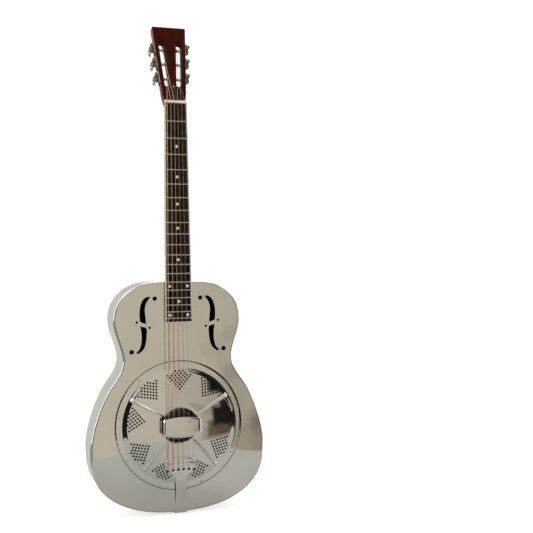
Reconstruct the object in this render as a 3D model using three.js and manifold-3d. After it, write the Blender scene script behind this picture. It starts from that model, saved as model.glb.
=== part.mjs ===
// A single-cone resonator guitar with a plated sheet-metal body and a slotted headstock.
// Millimetres. X to the right seen from the front, Y from front to back, Z up along the neck.
// The origin is on the centreline: y = 0 is the outside of the top plate, z = 0 the nut's front edge.
import * as THREE from "three";
import { mergeVertices } from "three/addons/utils/BufferGeometryUtils.js";
import Module from "manifold-3d";

const wasm = await Module();
wasm.setup();

// ---------------------------------------------------------------- driving dimensions
const GAP = 0.3; // between pieces that touch
const SHEET = 1.0; // body metal

const BODY_DEPTH = 83;
const BODY_TOP_Z = -357.6;
const BODY_END_Z = -823;

// Right half of the body outline: x, z and heading in degrees at each knot, then the
// two Bezier handle lengths of the stretch to the next knot.
const OUTLINE = [
  { x: 0, z: BODY_TOP_Z, heading: 0, out: 56, into: 26 },
  { x: 94.6, z: -371.5, heading: -31, out: 24, into: 28 },
  { x: 130, z: -434.5, heading: -90, out: 26.5, into: 21 },
  { x: 111.8, z: -512.3, heading: -90, out: 28, into: 31.5 },
  { x: 147.5, z: -584, heading: -63, out: 32, into: 32.5 },
  { x: 178, z: -690, heading: -90, out: 39, into: 46.5 },
  { x: 135.5, z: -789.5, heading: -144.5, out: 39.5, into: 57.5 },
  { x: 0, z: BODY_END_Z, heading: -180, out: 0, into: 0 },
];
const OUTLINE_STEPS = 6; // straight steps in each stretch

const BACK_BAND = 20; // flat band round the back plate
const BACK_RISE = 7; // height of the flat middle above the band
const BACK_FOOT_SHARE = 0.75; // how much of the rise is steepest at the foot
// Right half of the flat middle of the back, with one knot for each knot of the outline.
const RAISED_MIDDLE = [
  { x: 0, z: -400, heading: 0, out: 42, into: 16 },
  { x: 62, z: -407, heading: -30, out: 14, into: 20 },
  { x: 80, z: -445, heading: -90, out: 20, into: 26 },
  { x: 46, z: -522, heading: -90, out: 16, into: 24 },
  { x: 75, z: -580, heading: -58, out: 30, into: 36 },
  { x: 127, z: -690, heading: -90, out: 28, into: 32 },
  { x: 98, z: -750, heading: -145, out: 28, into: 40 },
  { x: 0, z: -768, heading: -180, out: 0, into: 0 },
];

const CONE_Z = -647.7; // centre of cone, coverplate and hand rest
const WELL_RADIUS = 120;
const WELL_SHELF_Y = 17;
const WELL_SHELF_RADIUS = 110;
const CONE_RADIUS = 118.5;
const CONE_TOP_RADIUS = 27;
const CONE_TOP_Y = 1.5;
const BISCUIT_RADIUS = 26;
const BISCUIT_THICK = 7;
const SADDLE_LENGTH = 55;
const SADDLE_THICK = 3;
const SADDLE_TOP_Y = -19;
const ROUND_STEPS = 36;
const HIDDEN_STEPS = 24; // round pieces inside the body

const COVER_RADIUS = 130.3;
const COVER_STEP_RADIUS = 116;
const COVER_OPENING = 34;
const COVER_CENTRE_Y = -8;
const COVER_STEP_Y = -4.3;
const RIB_ANGLES = [60, -60, 140, -140];
const RIB_FROM = 40;
const RIB_TO = 113;
const RIB_WIDTH = 9;
const RIB_HEIGHT = 4;

const REST_HALF_WIDTH = 39;
const REST_HEIGHT = 41;
const REST_TOP_Y = -31;
const REST_THICK = 1.5;

const NUT_HALF = 22.25;
const NUT_LENGTH = 6;
const NUT_TOP_Y = -12;
const BOARD_END_Z = -440.5;
const BOARD_END_HALF = 27.5;
const BOARD_TOP_Y = -10.4;
const NECK_TOP_Y = -4.4;
const BINDING = 1.8;
const NECK_BACK_AT_NUT = 11;
const NECK_BACK_AT_HEEL = 15;
const HEEL_DEPTH_Y = 62;
const HEEL_START_Z = -302;
const HEEL_CAP_HEIGHT = 24;
const HEEL_CAP_HALF = 12;
const STICK_HALF_WIDTH = 19;
const STICK_FRONT_Y = 40;
const STICK_BACK_Y = 60;
const STICK_END_GAP = 5; // from the outside of the tail

const HEAD_TILT = THREE.MathUtils.degToRad(17.5);
const HEAD_FACE = { y: -2, z: 6 }; // where the face starts
const HEAD_LENGTH = 169.4;
const HEAD_THICK = 17.3;
const HEAD_TOP_HALF = 35.08;
const HEAD_FLARE_U = 18;
const HEAD_FLARE_HALF = 24.8;
const SLOT_FROM = 35;
const SLOT_TO = 135;
const SLOT_CENTRE_LOW = 11.9; // |x| of the slot centreline at SLOT_FROM
const SLOT_CENTRE_HIGH = 18.5; // and at SLOT_TO
const SLOT_HALF = 5.7;
const ROLLER_U = [52, 86, 119]; // along the face from HEAD_FACE

const GEAR_TEETH = 14;
const GEAR_MODULE = 0.8;
const GEAR_WIDTH = 3;
const WORM_PITCH_RADIUS = 2.4;
const ROLLER_RADIUS = 3;
const BEARING_GAP = 0.35;
const SHAFT_RADIUS = 1.5;
const TUNER_OUT = 5.3; // worm and gear centre, outward from the wood
const EAR_Y = 6.6; // inner face of each bracket ear
const PLATE_THICK = 1.2;

const STRING_RADII = [0.71, 0.57, 0.46, 0.33, 0.22, 0.17];
const STRING_AT_NUT = 36.5 / 5;
const STRING_AT_SADDLE = 51.5 / 5;
const STRING_AT_TAIL = 10.8; // from string to string
const TAIL_HOLE_Z = -735;
const TAIL_TOP_Z = -711;
const TAIL_HEAD_HALF = 31;
const TAIL_NARROWS_Z = -747; // where the head draws in to the stem
const TAIL_STEM_Z = -768; // top of the straight stem
const TAIL_BEND_Z = -790; // where the stem comes down to the top plate
const TAIL_STEM_HALF = 7.8;
const TAIL_Y = -9;
const TAIL_THICK = 1.6;
const PIN_Y = 41.5;
const PIN_LENGTH = 22;
const PIN_HEAD = 7.5;
const PIN_HEAD_THICK = 3;

// ---------------------------------------------------------------- materials
const finish = (color, roughness, metalness) =>
  new THREE.MeshStandardMaterial({ color, roughness, metalness });
const PLATED = finish(0xc9c7c0, 0.08, 1);
const CHROME = finish(0xd4d6d8, 0.06, 1);
const SPUN_ALUMINIUM = finish(0xb9bcbf, 0.35, 1);
const BRASS = finish(0xa88646, 0.3, 1);
const STEEL = finish(0xb5b5b2, 0.25, 1);
const BRONZE = finish(0xb07a52, 0.35, 1);
const MAHOGANY = finish(0x6e2413, 0.25, 0);
const ROSEWOOD = finish(0x1d1512, 0.5, 0);
const MAPLE = finish(0xb89766, 0.5, 0);
const CREAM = finish(0xe9dfc0, 0.35, 0);
const BONE = finish(0xeee6d2, 0.4, 0);
const BLACK_PLASTIC = finish(0x141416, 0.3, 0);

// ---------------------------------------------------------------- solids
const guitar = new THREE.Group();

// A closed geometry as a manifold-3d solid, its faces turned outwards.
function solid(geometry) {
  const bare = new THREE.BufferGeometry();
  bare.setAttribute("position", geometry.getAttribute("position").clone());
  if (geometry.index) bare.setIndex(geometry.index.clone());
  const merged = mergeVertices(bare, 1e-4);
  const vertProperties = merged.attributes.position.array;
  const triVerts = new Uint32Array(merged.index.array);
  const made = new wasm.Manifold(new wasm.Mesh({ numProp: 3, vertProperties, triVerts }));
  if (made.volume() >= 0) return made;
  for (let i = 0; i < triVerts.length; i += 3) {
    const first = triVerts[i];
    triVerts[i] = triVerts[i + 1];
    triVerts[i + 1] = first;
  }
  return new wasm.Manifold(new wasm.Mesh({ numProp: 3, vertProperties, triVerts }));
}

function geometryOf(made) {
  const mesh = made.getMesh();
  const geometry = new THREE.BufferGeometry();
  geometry.setAttribute("position", new THREE.BufferAttribute(mesh.vertProperties, 3));
  geometry.setIndex(new THREE.BufferAttribute(mesh.triVerts, 1));
  geometry.computeVertexNormals();
  return geometry;
}

function add(name, made, material, parent = guitar) {
  const mesh = new THREE.Mesh(geometryOf(made), material);
  mesh.name = name;
  parent.add(mesh);
  return mesh;
}

// A shape drawn in x and z, given thickness from y = front to y = back.
function plateSolid(shape, front, back) {
  const geometry = new THREE.ExtrudeGeometry(shape, {
    depth: back - front,
    bevelEnabled: false,
    curveSegments: 6,
  });
  geometry.rotateX(Math.PI / 2);
  geometry.translate(0, back, 0);
  return solid(geometry);
}

// The same with holes, each a shape of its own.
function piercedSolid(shape, holes, front, back) {
  const cut = (plate, hole) => plate.subtract(plateSolid(hole, front - 1, back + 1));
  return holes.reduce(cut, plateSolid(shape, front, back));
}

// A shape drawn in x and y, given length from z = low to z = high.
function barSolid(shape, low, high) {
  const geometry = new THREE.ExtrudeGeometry(shape, { depth: high - low, bevelEnabled: false });
  geometry.translate(0, 0, low);
  return solid(geometry);
}

// A shape drawn in y and z, given width from x = left to x = right.
function sideSolid(shape, left, right) {
  const geometry = new THREE.ExtrudeGeometry(shape, { depth: right - left, bevelEnabled: false });
  geometry.applyMatrix4(new THREE.Matrix4().set(0, 0, 1, left, 1, 0, 0, 0, 0, 1, 0, 0, 0, 0, 0, 1));
  return solid(geometry);
}

function boxSolid(x0, x1, y0, y1, z0, z1) {
  const geometry = new THREE.BoxGeometry(x1 - x0, y1 - y0, z1 - z0);
  geometry.translate((x0 + x1) / 2, (y0 + y1) / 2, (z0 + z1) / 2);
  return solid(geometry);
}

// A cylinder between two points.
function rodSolid(from, to, radius, sides) {
  const a = new THREE.Vector3(...from);
  const b = new THREE.Vector3(...to);
  const geometry = new THREE.CylinderGeometry(radius, radius, a.distanceTo(b), sides);
  const along = b.clone().sub(a).normalize();
  const turn = new THREE.Quaternion().setFromUnitVectors(new THREE.Vector3(0, 1, 0), along);
  geometry.applyQuaternion(turn);
  const middle = a.add(b).multiplyScalar(0.5);
  geometry.translate(middle.x, middle.y, middle.z);
  return solid(geometry);
}

// A profile of [radius, y] pairs turned about the axis of the cone.
function spunSolid(profile, steps) {
  const points = profile.map(([r, y]) => new THREE.Vector2(r, y));
  const geometry = new THREE.LatheGeometry(points, steps);
  geometry.translate(0, 0, CONE_Z);
  return solid(geometry);
}

// A skin through rings of equal point counts, closed by a fan at each end.
function loftSolid(rings) {
  const count = rings[0].length;
  const points = rings.flat();
  const index = [];
  for (let r = 0; r + 1 < rings.length; r++)
    for (let k = 0; k < count; k++) {
      const a = r * count + k;
      const b = r * count + ((k + 1) % count);
      index.push(a, b, a + count, b, b + count, a + count);
    }
  for (const [ring, first] of [[rings[0], 0], [rings.at(-1), points.length - count]]) {
    const middle = ring
      .reduce((sum, p) => sum.add(p), new THREE.Vector3())
      .multiplyScalar(1 / count);
    const centre = points.push(middle) - 1;
    for (let k = 0; k < count; k++) {
      const a = first + k;
      const b = first + ((k + 1) % count);
      if (first === 0) index.push(b, a, centre);
      else index.push(a, b, centre);
    }
  }
  const geometry = new THREE.BufferGeometry().setFromPoints(points);
  geometry.setIndex(index);
  return solid(geometry);
}

function shapeOf(points) {
  return new THREE.Shape(points.map(([x, y]) => new THREE.Vector2(x, y)));
}

function mix(a, b, t) {
  return a + (b - a) * t;
}

function smoothstep(low, high, value) {
  return THREE.MathUtils.smoothstep(value, low, high);
}

// ---------------------------------------------------------------- body
// A right half's points from the top centre to the end, ends included.
function halfCurve(knots) {
  const points = [];
  for (let i = 0; i + 1 < knots.length; i++) {
    const [from, to] = [knots[i], knots[i + 1]];
    const leave = THREE.MathUtils.degToRad(from.heading);
    const arrive = THREE.MathUtils.degToRad(to.heading);
    const curve = new THREE.CubicBezierCurve(
      new THREE.Vector2(from.x, from.z),
      new THREE.Vector2(from.x + from.out * Math.cos(leave), from.z + from.out * Math.sin(leave)),
      new THREE.Vector2(to.x - from.into * Math.cos(arrive), to.z - from.into * Math.sin(arrive)),
      new THREE.Vector2(to.x, to.z),
    );
    points.push(...curve.getPoints(OUTLINE_STEPS).slice(i ? 1 : 0));
  }
  return points;
}

// The whole closed loop of a right half given by its knots.
function loopOf(knots) {
  const right = halfCurve(knots);
  const left = right
    .slice(1, -1)
    .reverse()
    .map((p) => new THREE.Vector2(-p.x, p.y));
  return [...right, ...left];
}

// The loop moved inwards by a distance, point by point along its own normals.
function insetLoop(loop, distance) {
  return loop.map((p, i) => {
    const before = loop.at(i - 1);
    const after = loop[(i + 1) % loop.length];
    const along = after.clone().sub(before).normalize();
    return new THREE.Vector2(p.x + along.y * distance, p.y - along.x * distance);
  });
}

function circleShape(x, z, radius, steps) {
  const points = [];
  for (let k = 0; k < steps; k++) {
    const angle = (k / steps) * 2 * Math.PI;
    points.push(new THREE.Vector2(x + radius * Math.cos(angle), z + radius * Math.sin(angle)));
  }
  return new THREE.Shape(points);
}

// One side's sound hole: an S in two pieces, each with its round dot.
function soundHoles(side) {
  const upper = [
    [55, -388.8], [65, -389], [73, -397.5], [77.5, -413], [77.6, -430], [76, -437.5],
    [64.6, -442], [66.5, -425], [66.5, -411], [63, -398],
  ];
  const lower = [
    [76.5, -446.5], [64.6, -450.5], [64.2, -466.5], [66.5, -483], [74, -496],
    [86.3, -499.4], [78.3, -491], [74.7, -478], [74.2, -462],
  ];
  const pieces = [upper, lower].map((points) => shapeOf(points.map(([x, z]) => [side * x, z])));
  const dots = [circleShape(side * 46.8, -391.7, 4.5, 10), circleShape(side * 94.6, -496.8, 4.5, 10)];
  return [...pieces, ...dots];
}

function topPlate() {
  const wellHole = circleShape(0, CONE_Z, WELL_RADIUS, ROUND_STEPS);
  const holes = [wellHole, ...soundHoles(1), ...soundHoles(-1)];
  add("top_plate", piercedSolid(new THREE.Shape(loopOf(OUTLINE)), holes, 0, SHEET), PLATED);
}

function sideRim() {
  const loop = loopOf(OUTLINE);
  const front = SHEET + GAP;
  const back = BODY_DEPTH - SHEET - GAP;
  const inside = new THREE.Shape(insetLoop(loop, SHEET));
  const stickHole = boxSolid(
    -STICK_HALF_WIDTH - GAP, STICK_HALF_WIDTH + GAP,
    STICK_FRONT_Y - GAP, STICK_BACK_Y + GAP, BODY_TOP_Z - 6, BODY_TOP_Z + 6,
  );
  const pinHole = rodSolid([0, PIN_Y, BODY_END_Z - 5], [0, PIN_Y, BODY_END_Z + 5], 4, 12);
  const wall = piercedSolid(new THREE.Shape(loop), [inside], front, back);
  const rim = wall.subtract(stickHole).subtract(pinHole);
  add("side_rim", rim, PLATED);
}

// Height of the back above its band, from the foot of the slope (0) to the flat middle (1).
function backRise(share) {
  const steepFirst = 1 - (1 - share) ** 2;
  return BACK_RISE * (BACK_FOOT_SHARE * steepFirst + (1 - BACK_FOOT_SHARE) * share);
}

function backPlate() {
  const loop = loopOf(OUTLINE);
  const foot = insetLoop(loop, BACK_BAND);
  const middle = loopOf(RAISED_MIDDLE);
  const ringsAt = (y) => {
    const slope = [0, 0.35, 0.7, 1].map((share) =>
      foot.map((p, i) => {
        const at = p.clone().lerp(middle[i], share);
        return new THREE.Vector3(at.x, y + backRise(share), at.y);
      }),
    );
    return [loop.map((p) => new THREE.Vector3(p.x, y, p.y)), ...slope];
  };
  const inside = ringsAt(BODY_DEPTH - SHEET).reverse();
  add("back_plate", loftSolid([...inside, ...ringsAt(BODY_DEPTH)]), PLATED);
}

function coneWell() {
  const profile = [
    [WELL_RADIUS + 8, SHEET + GAP],
    [WELL_RADIUS + 8, 2 * SHEET + GAP],
    [WELL_RADIUS + SHEET, 2 * SHEET + GAP],
    [WELL_RADIUS + SHEET, WELL_SHELF_Y + SHEET],
    [WELL_SHELF_RADIUS, WELL_SHELF_Y + SHEET],
    [WELL_SHELF_RADIUS, WELL_SHELF_Y],
    [WELL_RADIUS, WELL_SHELF_Y],
    [WELL_RADIUS, SHEET + GAP],
    [WELL_RADIUS + 8, SHEET + GAP],
  ];
  add("cone_well", spunSolid(profile, HIDDEN_STEPS), PLATED);
}

function resonatorCone() {
  const skin = 0.6;
  const rimY = WELL_SHELF_Y - GAP - skin;
  const profile = [
    [2.2, CONE_TOP_Y],
    [CONE_TOP_RADIUS, CONE_TOP_Y],
    [CONE_RADIUS - 6, rimY],
    [CONE_RADIUS, rimY],
    [CONE_RADIUS, rimY + skin],
    [CONE_RADIUS - 6, rimY + skin],
    [CONE_TOP_RADIUS, CONE_TOP_Y + skin],
    [2.2, CONE_TOP_Y + skin],
    [2.2, CONE_TOP_Y],
  ];
  add("resonator_cone", spunSolid(profile, HIDDEN_STEPS), SPUN_ALUMINIUM);
}

function bridge() {
  const back = CONE_TOP_Y - GAP;
  const front = back - BISCUIT_THICK;
  const slotDepth = 3.5;
  const slot = boxSolid(
    -SADDLE_LENGTH / 2 - GAP, SADDLE_LENGTH / 2 + GAP, front - 1, front + slotDepth,
    CONE_Z - SADDLE_THICK / 2 - GAP, CONE_Z + SADDLE_THICK / 2 + GAP,
  );
  const screwHole = rodSolid([0, back - 3.3, CONE_Z], [0, back + 1, CONE_Z], 1.9, 10);
  const disc = rodSolid([0, front, CONE_Z], [0, back, CONE_Z], BISCUIT_RADIUS, 24);
  add("biscuit", disc.subtract(slot).subtract(screwHole), MAPLE);

  const half = SADDLE_LENGTH / 2;
  const foot = front + slotDepth - GAP;
  const shape = new THREE.Shape();
  shape.moveTo(-half, foot);
  shape.lineTo(-half, SADDLE_TOP_Y + 1);
  shape.quadraticCurveTo(0, SADDLE_TOP_Y - 1, half, SADDLE_TOP_Y + 1);
  shape.lineTo(half, foot);
  const saddle = barSolid(shape, CONE_Z - SADDLE_THICK / 2, CONE_Z + SADDLE_THICK / 2);
  add("saddle", saddle, MAPLE);

  const shank = rodSolid([0, back - 3, CONE_Z], [0, CONE_TOP_Y + 2.5, CONE_Z], 1.6, 10);
  const headY = CONE_TOP_Y + 0.6 + GAP;
  const head = rodSolid([0, headY, CONE_Z], [0, headY + 2.2, CONE_Z], 3.6, 12);
  add("biscuit_screw", shank.add(head), STEEL);
}

// The direction from the cone's centre at an angle from straight up, seen from the front.
function spoke(degrees, radius) {
  const angle = THREE.MathUtils.degToRad(degrees);
  return [radius * Math.sin(angle), CONE_Z + radius * Math.cos(angle)];
}

function ribSolid(degrees) {
  const angle = THREE.MathUtils.degToRad(degrees);
  const across = new THREE.Vector3(Math.cos(angle), 0, -Math.sin(angle));
  const ring = (radius, half, foot, crest) => {
    const [x, z] = spoke(degrees, radius);
    return [[-half, foot], [0, crest], [half, foot]].map(([side, y]) =>
      new THREE.Vector3(x, y, z).addScaledVector(across, side),
    );
  };
  return loftSolid([
    ring(RIB_FROM, RIB_WIDTH / 3, COVER_CENTRE_Y + 0.5, COVER_CENTRE_Y - 1),
    ring(RIB_TO - 12, RIB_WIDTH / 2, COVER_STEP_Y + 0.2, COVER_STEP_Y - RIB_HEIGHT),
    ring(RIB_TO, RIB_WIDTH / 5, COVER_STEP_Y + 0.4, COVER_STEP_Y - 1),
  ]);
}

function coverplate() {
  const seat = -GAP;
  const profile = [
    [COVER_OPENING, COVER_CENTRE_Y],
    [COVER_OPENING + 12, COVER_CENTRE_Y],
    [COVER_STEP_RADIUS - 3, COVER_STEP_Y],
    [COVER_STEP_RADIUS, seat - SHEET],
    [COVER_RADIUS, seat - SHEET],
    [COVER_RADIUS, seat],
    [COVER_STEP_RADIUS - 0.5, seat],
    [COVER_STEP_RADIUS - 3.5, COVER_STEP_Y + SHEET],
    [COVER_OPENING + 12, COVER_CENTRE_Y + SHEET],
    [COVER_OPENING, COVER_CENTRE_Y + SHEET],
    [COVER_OPENING, COVER_CENTRE_Y],
  ];
  let cover = spunSolid(profile, ROUND_STEPS);
  for (const angle of RIB_ANGLES) cover = cover.add(ribSolid(angle));
  add("coverplate", cover, PLATED);
}

function handRest() {
  const half = REST_HALF_WIDTH;
  const foot = COVER_CENTRE_Y - GAP;
  const inner = half - REST_THICK;
  const arch = shapeOf([
    [-half, foot], [-half, REST_TOP_Y + 4], [-half + 4, REST_TOP_Y], [half - 4, REST_TOP_Y],
    [half, REST_TOP_Y + 4], [half, foot], [inner, foot], [inner, REST_TOP_Y + 4.6],
    [inner - 3.1, REST_TOP_Y + REST_THICK], [-inner + 3.1, REST_TOP_Y + REST_THICK],
    [-inner, REST_TOP_Y + 4.6], [-inner, foot],
  ]);
  const [low, high] = [CONE_Z - REST_HEIGHT / 2, CONE_Z + REST_HEIGHT / 2];
  const face = new THREE.Shape();
  face.moveTo(-half - 1, low + 5);
  face.quadraticCurveTo(0, low - 5, half + 1, low + 5);
  face.lineTo(half + 1, high - 5);
  face.quadraticCurveTo(0, high + 5, -half - 1, high - 5);
  const rest = barSolid(arch, low - 1, high + 1).intersect(plateSolid(face, REST_TOP_Y - 1, 0));
  add("hand_rest", rest, PLATED);
}

// ---------------------------------------------------------------- neck
function boardHalf(z) {
  return mix(NUT_HALF, BOARD_END_HALF, z / BOARD_END_Z);
}

// One cross-section of the neck, its flat top first and its back rounded.
function neckRing(z) {
  const steps = 8;
  const half = boardHalf(Math.min(z, 0));
  const towardHeel = z / BODY_TOP_Z;
  const back = mix(NECK_BACK_AT_NUT, NECK_BACK_AT_HEEL, towardHeel);
  const heel = smoothstep(0, 1, (HEEL_START_Z - z) / (HEEL_START_Z - BODY_TOP_Z - HEEL_CAP_HEIGHT));
  const cap = Math.sqrt(Math.max(0, (BODY_TOP_Z + HEEL_CAP_HEIGHT - z) / HEEL_CAP_HEIGHT));
  const ring = [];
  for (let k = -steps; k <= steps; k++) {
    const t = 1 - Math.abs(k) / steps; // 0 at the board's edge, 1 on the centreline
    const angle = (t * Math.PI) / 2;
    const shaftX = half * Math.pow(Math.cos(angle), 0.8);
    const shaftY = NECK_TOP_Y + (back - NECK_TOP_Y) * Math.pow(Math.sin(angle), 0.85);
    const capHalf = HEEL_CAP_HALF * Math.min(1, cap);
    const fall = Math.min(1, t / 0.75);
    const heelX = t < 0.75 ? mix(half, capHalf, Math.pow(fall, 0.6)) : capHalf * (1 - t) * 4;
    const heelY = mix(NECK_TOP_Y, HEEL_DEPTH_Y, Math.pow(fall, 1.1));
    const x = mix(shaftX, heelX, heel);
    ring.push(new THREE.Vector3(-Math.sign(k) * x, mix(shaftY, heelY, heel), z));
  }
  return ring;
}

function neckShaft() {
  const seat = BODY_TOP_Z + GAP;
  const stations = [NUT_LENGTH, -60, -180, HEEL_START_Z];
  for (const share of [0.25, 0.5, 0.75, 1])
    stations.push(mix(HEEL_START_Z, BODY_TOP_Z + HEEL_CAP_HEIGHT, share));
  for (const share of [0.3, 0.65, 1]) stations.push(mix(BODY_TOP_Z + HEEL_CAP_HEIGHT, seat, share));
  return loftSolid(stations.map(neckRing));
}

// The wood that carries the fretboard's end over the body.
function neckTongue() {
  const [from, to] = [BODY_TOP_Z + 20, BOARD_END_Z + 3];
  const shape = shapeOf([
    [-boardHalf(from) + 1, from], [boardHalf(from) - 1, from],
    [boardHalf(to) - 1, to], [-boardHalf(to) + 1, to],
  ]);
  return plateSolid(shape, NECK_TOP_Y, -GAP);
}

function headHalf(u) {
  return mix(HEAD_FLARE_HALF, HEAD_TOP_HALF, (u - HEAD_FLARE_U) / (HEAD_LENGTH - HEAD_FLARE_U));
}

function slotCentre(u) {
  return mix(SLOT_CENTRE_LOW, SLOT_CENTRE_HIGH, (u - SLOT_FROM) / (SLOT_TO - SLOT_FROM));
}

const HEAD_SIDE_SLOPE = Math.atan(
  (HEAD_TOP_HALF - HEAD_FLARE_HALF) / (HEAD_LENGTH - HEAD_FLARE_U),
);

// A rounded slot on one side of the head, drawn in x and u.
function slotShape(side) {
  const points = [];
  const steps = 6;
  for (const [u, start] of [[SLOT_FROM + SLOT_HALF, Math.PI], [SLOT_TO - SLOT_HALF, 0]])
    for (let k = 0; k <= steps; k++) {
      const angle = start + (k / steps) * Math.PI;
      const x = slotCentre(u) + SLOT_HALF * Math.cos(angle);
      points.push(new THREE.Vector2(side * x, u + SLOT_HALF * Math.sin(angle)));
    }
  return new THREE.Shape(points);
}

// The sloping floor at each end of a slot, which the strings run down.
function slotRamps(side) {
  const half = SLOT_HALF - 0.6;
  return [[SLOT_FROM, 1], [SLOT_TO, -1]].map(([end, inward]) => {
    const slope = shapeOf([[-1, end - 13 * inward], [6.5, end + 6 * inward], [-1, end + 6 * inward]]);
    const centre = side * slotCentre(end);
    return sideSolid(slope, centre - half, centre + half);
  });
}

// The head in its own frame: z along the face, y from the face to the back.
function headSolid() {
  const half = new THREE.Path();
  half.moveTo(NUT_HALF, -7);
  half.bezierCurveTo(NUT_HALF, 6, HEAD_FLARE_HALF - 1.2, 8, HEAD_FLARE_HALF, HEAD_FLARE_U);
  half.lineTo(HEAD_TOP_HALF, HEAD_LENGTH);
  const right = half.getPoints(4);
  const left = right.map((p) => new THREE.Vector2(-p.x, p.y)).reverse();
  const shape = new THREE.Shape([...right, ...left]);
  const head = piercedSolid(shape, [slotShape(1), slotShape(-1)], 0, HEAD_THICK);
  const ramps = [...slotRamps(1), ...slotRamps(-1)];
  return ramps.reduce((wood, ramp) => wood.subtract(ramp), head);
}

const headFrame = new THREE.Group();
headFrame.position.set(0, HEAD_FACE.y, HEAD_FACE.z);
headFrame.rotation.x = -HEAD_TILT;
headFrame.updateMatrix();
guitar.add(headFrame);

// Each tuner's own frame: x outward from the wood, y to the back, z up the head.
function tunerFrame(side, u) {
  const frame = new THREE.Group();
  frame.position.set(side * headHalf(u), HEAD_THICK / 2, u);
  frame.rotation.y = side * HEAD_SIDE_SLOPE;
  frame.updateMatrix();
  return frame;
}

function placed(made, frame) {
  return made.transform(frame.matrix.elements);
}

const TUNERS = [];
for (const side of [-1, 1])
  for (const u of side < 0 ? ROLLER_U : [...ROLLER_U].reverse())
    TUNERS.push({ side, u, frame: tunerFrame(side, u), number: TUNERS.length + 1 });

function rollerLength(u) {
  return headHalf(u) - slotCentre(u) + SLOT_HALF + 3.5;
}

function neck() {
  let head = headSolid();
  for (const { side, u, frame } of TUNERS) {
    const inner = -side * (rollerLength(u) + BEARING_GAP);
    const bore = rodSolid([side, 0, 0], [inner, 0, 0], ROLLER_RADIUS + BEARING_GAP, 12);
    head = head.subtract(placed(bore, frame));
  }
  const rodChannel = boxSolid(-2.4, 2.4, NECK_TOP_Y - 1, 6, -335, NUT_LENGTH + 1);
  const nutPocket = boxSolid(-4, 4, -8, 7.5, NUT_LENGTH - 0.1, 24);
  const above = boxSolid(-40, 40, -30, NECK_TOP_Y, -20, NUT_LENGTH + 4);
  const wood = placed(head, headFrame)
    .add(neckShaft())
    .add(neckTongue())
    .subtract(above)
    .subtract(rodChannel)
    .subtract(nutPocket);
  add("neck", wood, MAHOGANY);
}

function neckStick() {
  const stick = boxSolid(
    -STICK_HALF_WIDTH, STICK_HALF_WIDTH, STICK_FRONT_Y, STICK_BACK_Y,
    BODY_END_Z + STICK_END_GAP, BODY_TOP_Z,
  );
  const pinHole = rodSolid([0, PIN_Y, BODY_END_Z], [0, PIN_Y, BODY_END_Z + PIN_LENGTH + 3], 3.6, 12);
  add("neck_stick", stick.subtract(pinHole), MAPLE);
}

function trussRod() {
  const y = 3.4;
  add("truss_rod", rodSolid([0, y, -334], [0, y, NUT_LENGTH + 0.5], 2, 10), STEEL);
  const start = NUT_LENGTH + 0.8;
  add("truss_rod_nut", rodSolid([0, y, start], [0, y, start + 6], 3, 6), BRASS);
}

function trussCover() {
  const shape = new THREE.Shape();
  shape.moveTo(-6.5, 2);
  shape.lineTo(6.5, 2);
  shape.bezierCurveTo(6, 16, 3.5, 22, 3.2, 33);
  shape.quadraticCurveTo(0, 37.5, -3.2, 33);
  shape.bezierCurveTo(-3.5, 22, -6, 16, -6.5, 2);
  add("truss_rod_cover", plateSolid(shape, -1.6 - GAP, -GAP), BLACK_PLASTIC, headFrame);
}

function fretboard() {
  const bottom = NECK_TOP_Y - GAP;
  const end = BOARD_END_Z;
  const inset = BINDING + GAP;
  const front = -GAP;
  const core = shapeOf([
    [-boardHalf(0) + inset, front], [boardHalf(0) - inset, front],
    [boardHalf(end) - inset, end + inset], [-boardHalf(end) + inset, end + inset],
  ]);
  add("fretboard", plateSolid(core, BOARD_TOP_Y, bottom), ROSEWOOD);

  const band = BINDING;
  const binding = shapeOf([
    [-boardHalf(0), front], [-boardHalf(end), end], [boardHalf(end), end], [boardHalf(0), front],
    [boardHalf(0) - band, front], [boardHalf(end) - band, end + band],
    [-boardHalf(end) + band, end + band], [-boardHalf(0) + band, front],
  ]);
  add("board_binding", plateSolid(binding, BOARD_TOP_Y, bottom), CREAM);

  const nut = boxSolid(-NUT_HALF, NUT_HALF, NUT_TOP_Y, bottom, 0, NUT_LENGTH);
  add("nut", nut, BONE);
}

// ---------------------------------------------------------------- tuners
function bracketSolid(side) {
  const plate = sideSolid(shapeOf([[-8, -11], [8, -11], [8, 15], [-8, 15]]), GAP, GAP + PLATE_THICK);
  const start = GAP + PLATE_THICK / 2;
  const shaftZ = WORM_PITCH_RADIUS + (GEAR_TEETH * GEAR_MODULE) / 2;
  const ear = new THREE.Shape();
  ear.moveTo(start, shaftZ - 4);
  ear.lineTo(TUNER_OUT, shaftZ - 4);
  ear.absarc(TUNER_OUT, shaftZ, 4, -Math.PI / 2, Math.PI / 2);
  ear.lineTo(start, shaftZ + 4);
  let bracket = plate;
  for (const [front, back] of [[-EAR_Y - PLATE_THICK, -EAR_Y], [EAR_Y, EAR_Y + PLATE_THICK]])
    bracket = bracket.add(plateSolid(ear, front, back));
  const shaftHole = rodSolid([TUNER_OUT, -12, shaftZ], [TUNER_OUT, 12, shaftZ], SHAFT_RADIUS + GAP, 12);
  const rollerHole = rodSolid([-1, 0, 0], [4, 0, 0], ROLLER_RADIUS + BEARING_GAP, 12);
  bracket = bracket.subtract(shaftHole).subtract(rollerHole);
  return side > 0 ? bracket : bracket.scale([-1, 1, 1]);
}

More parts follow.
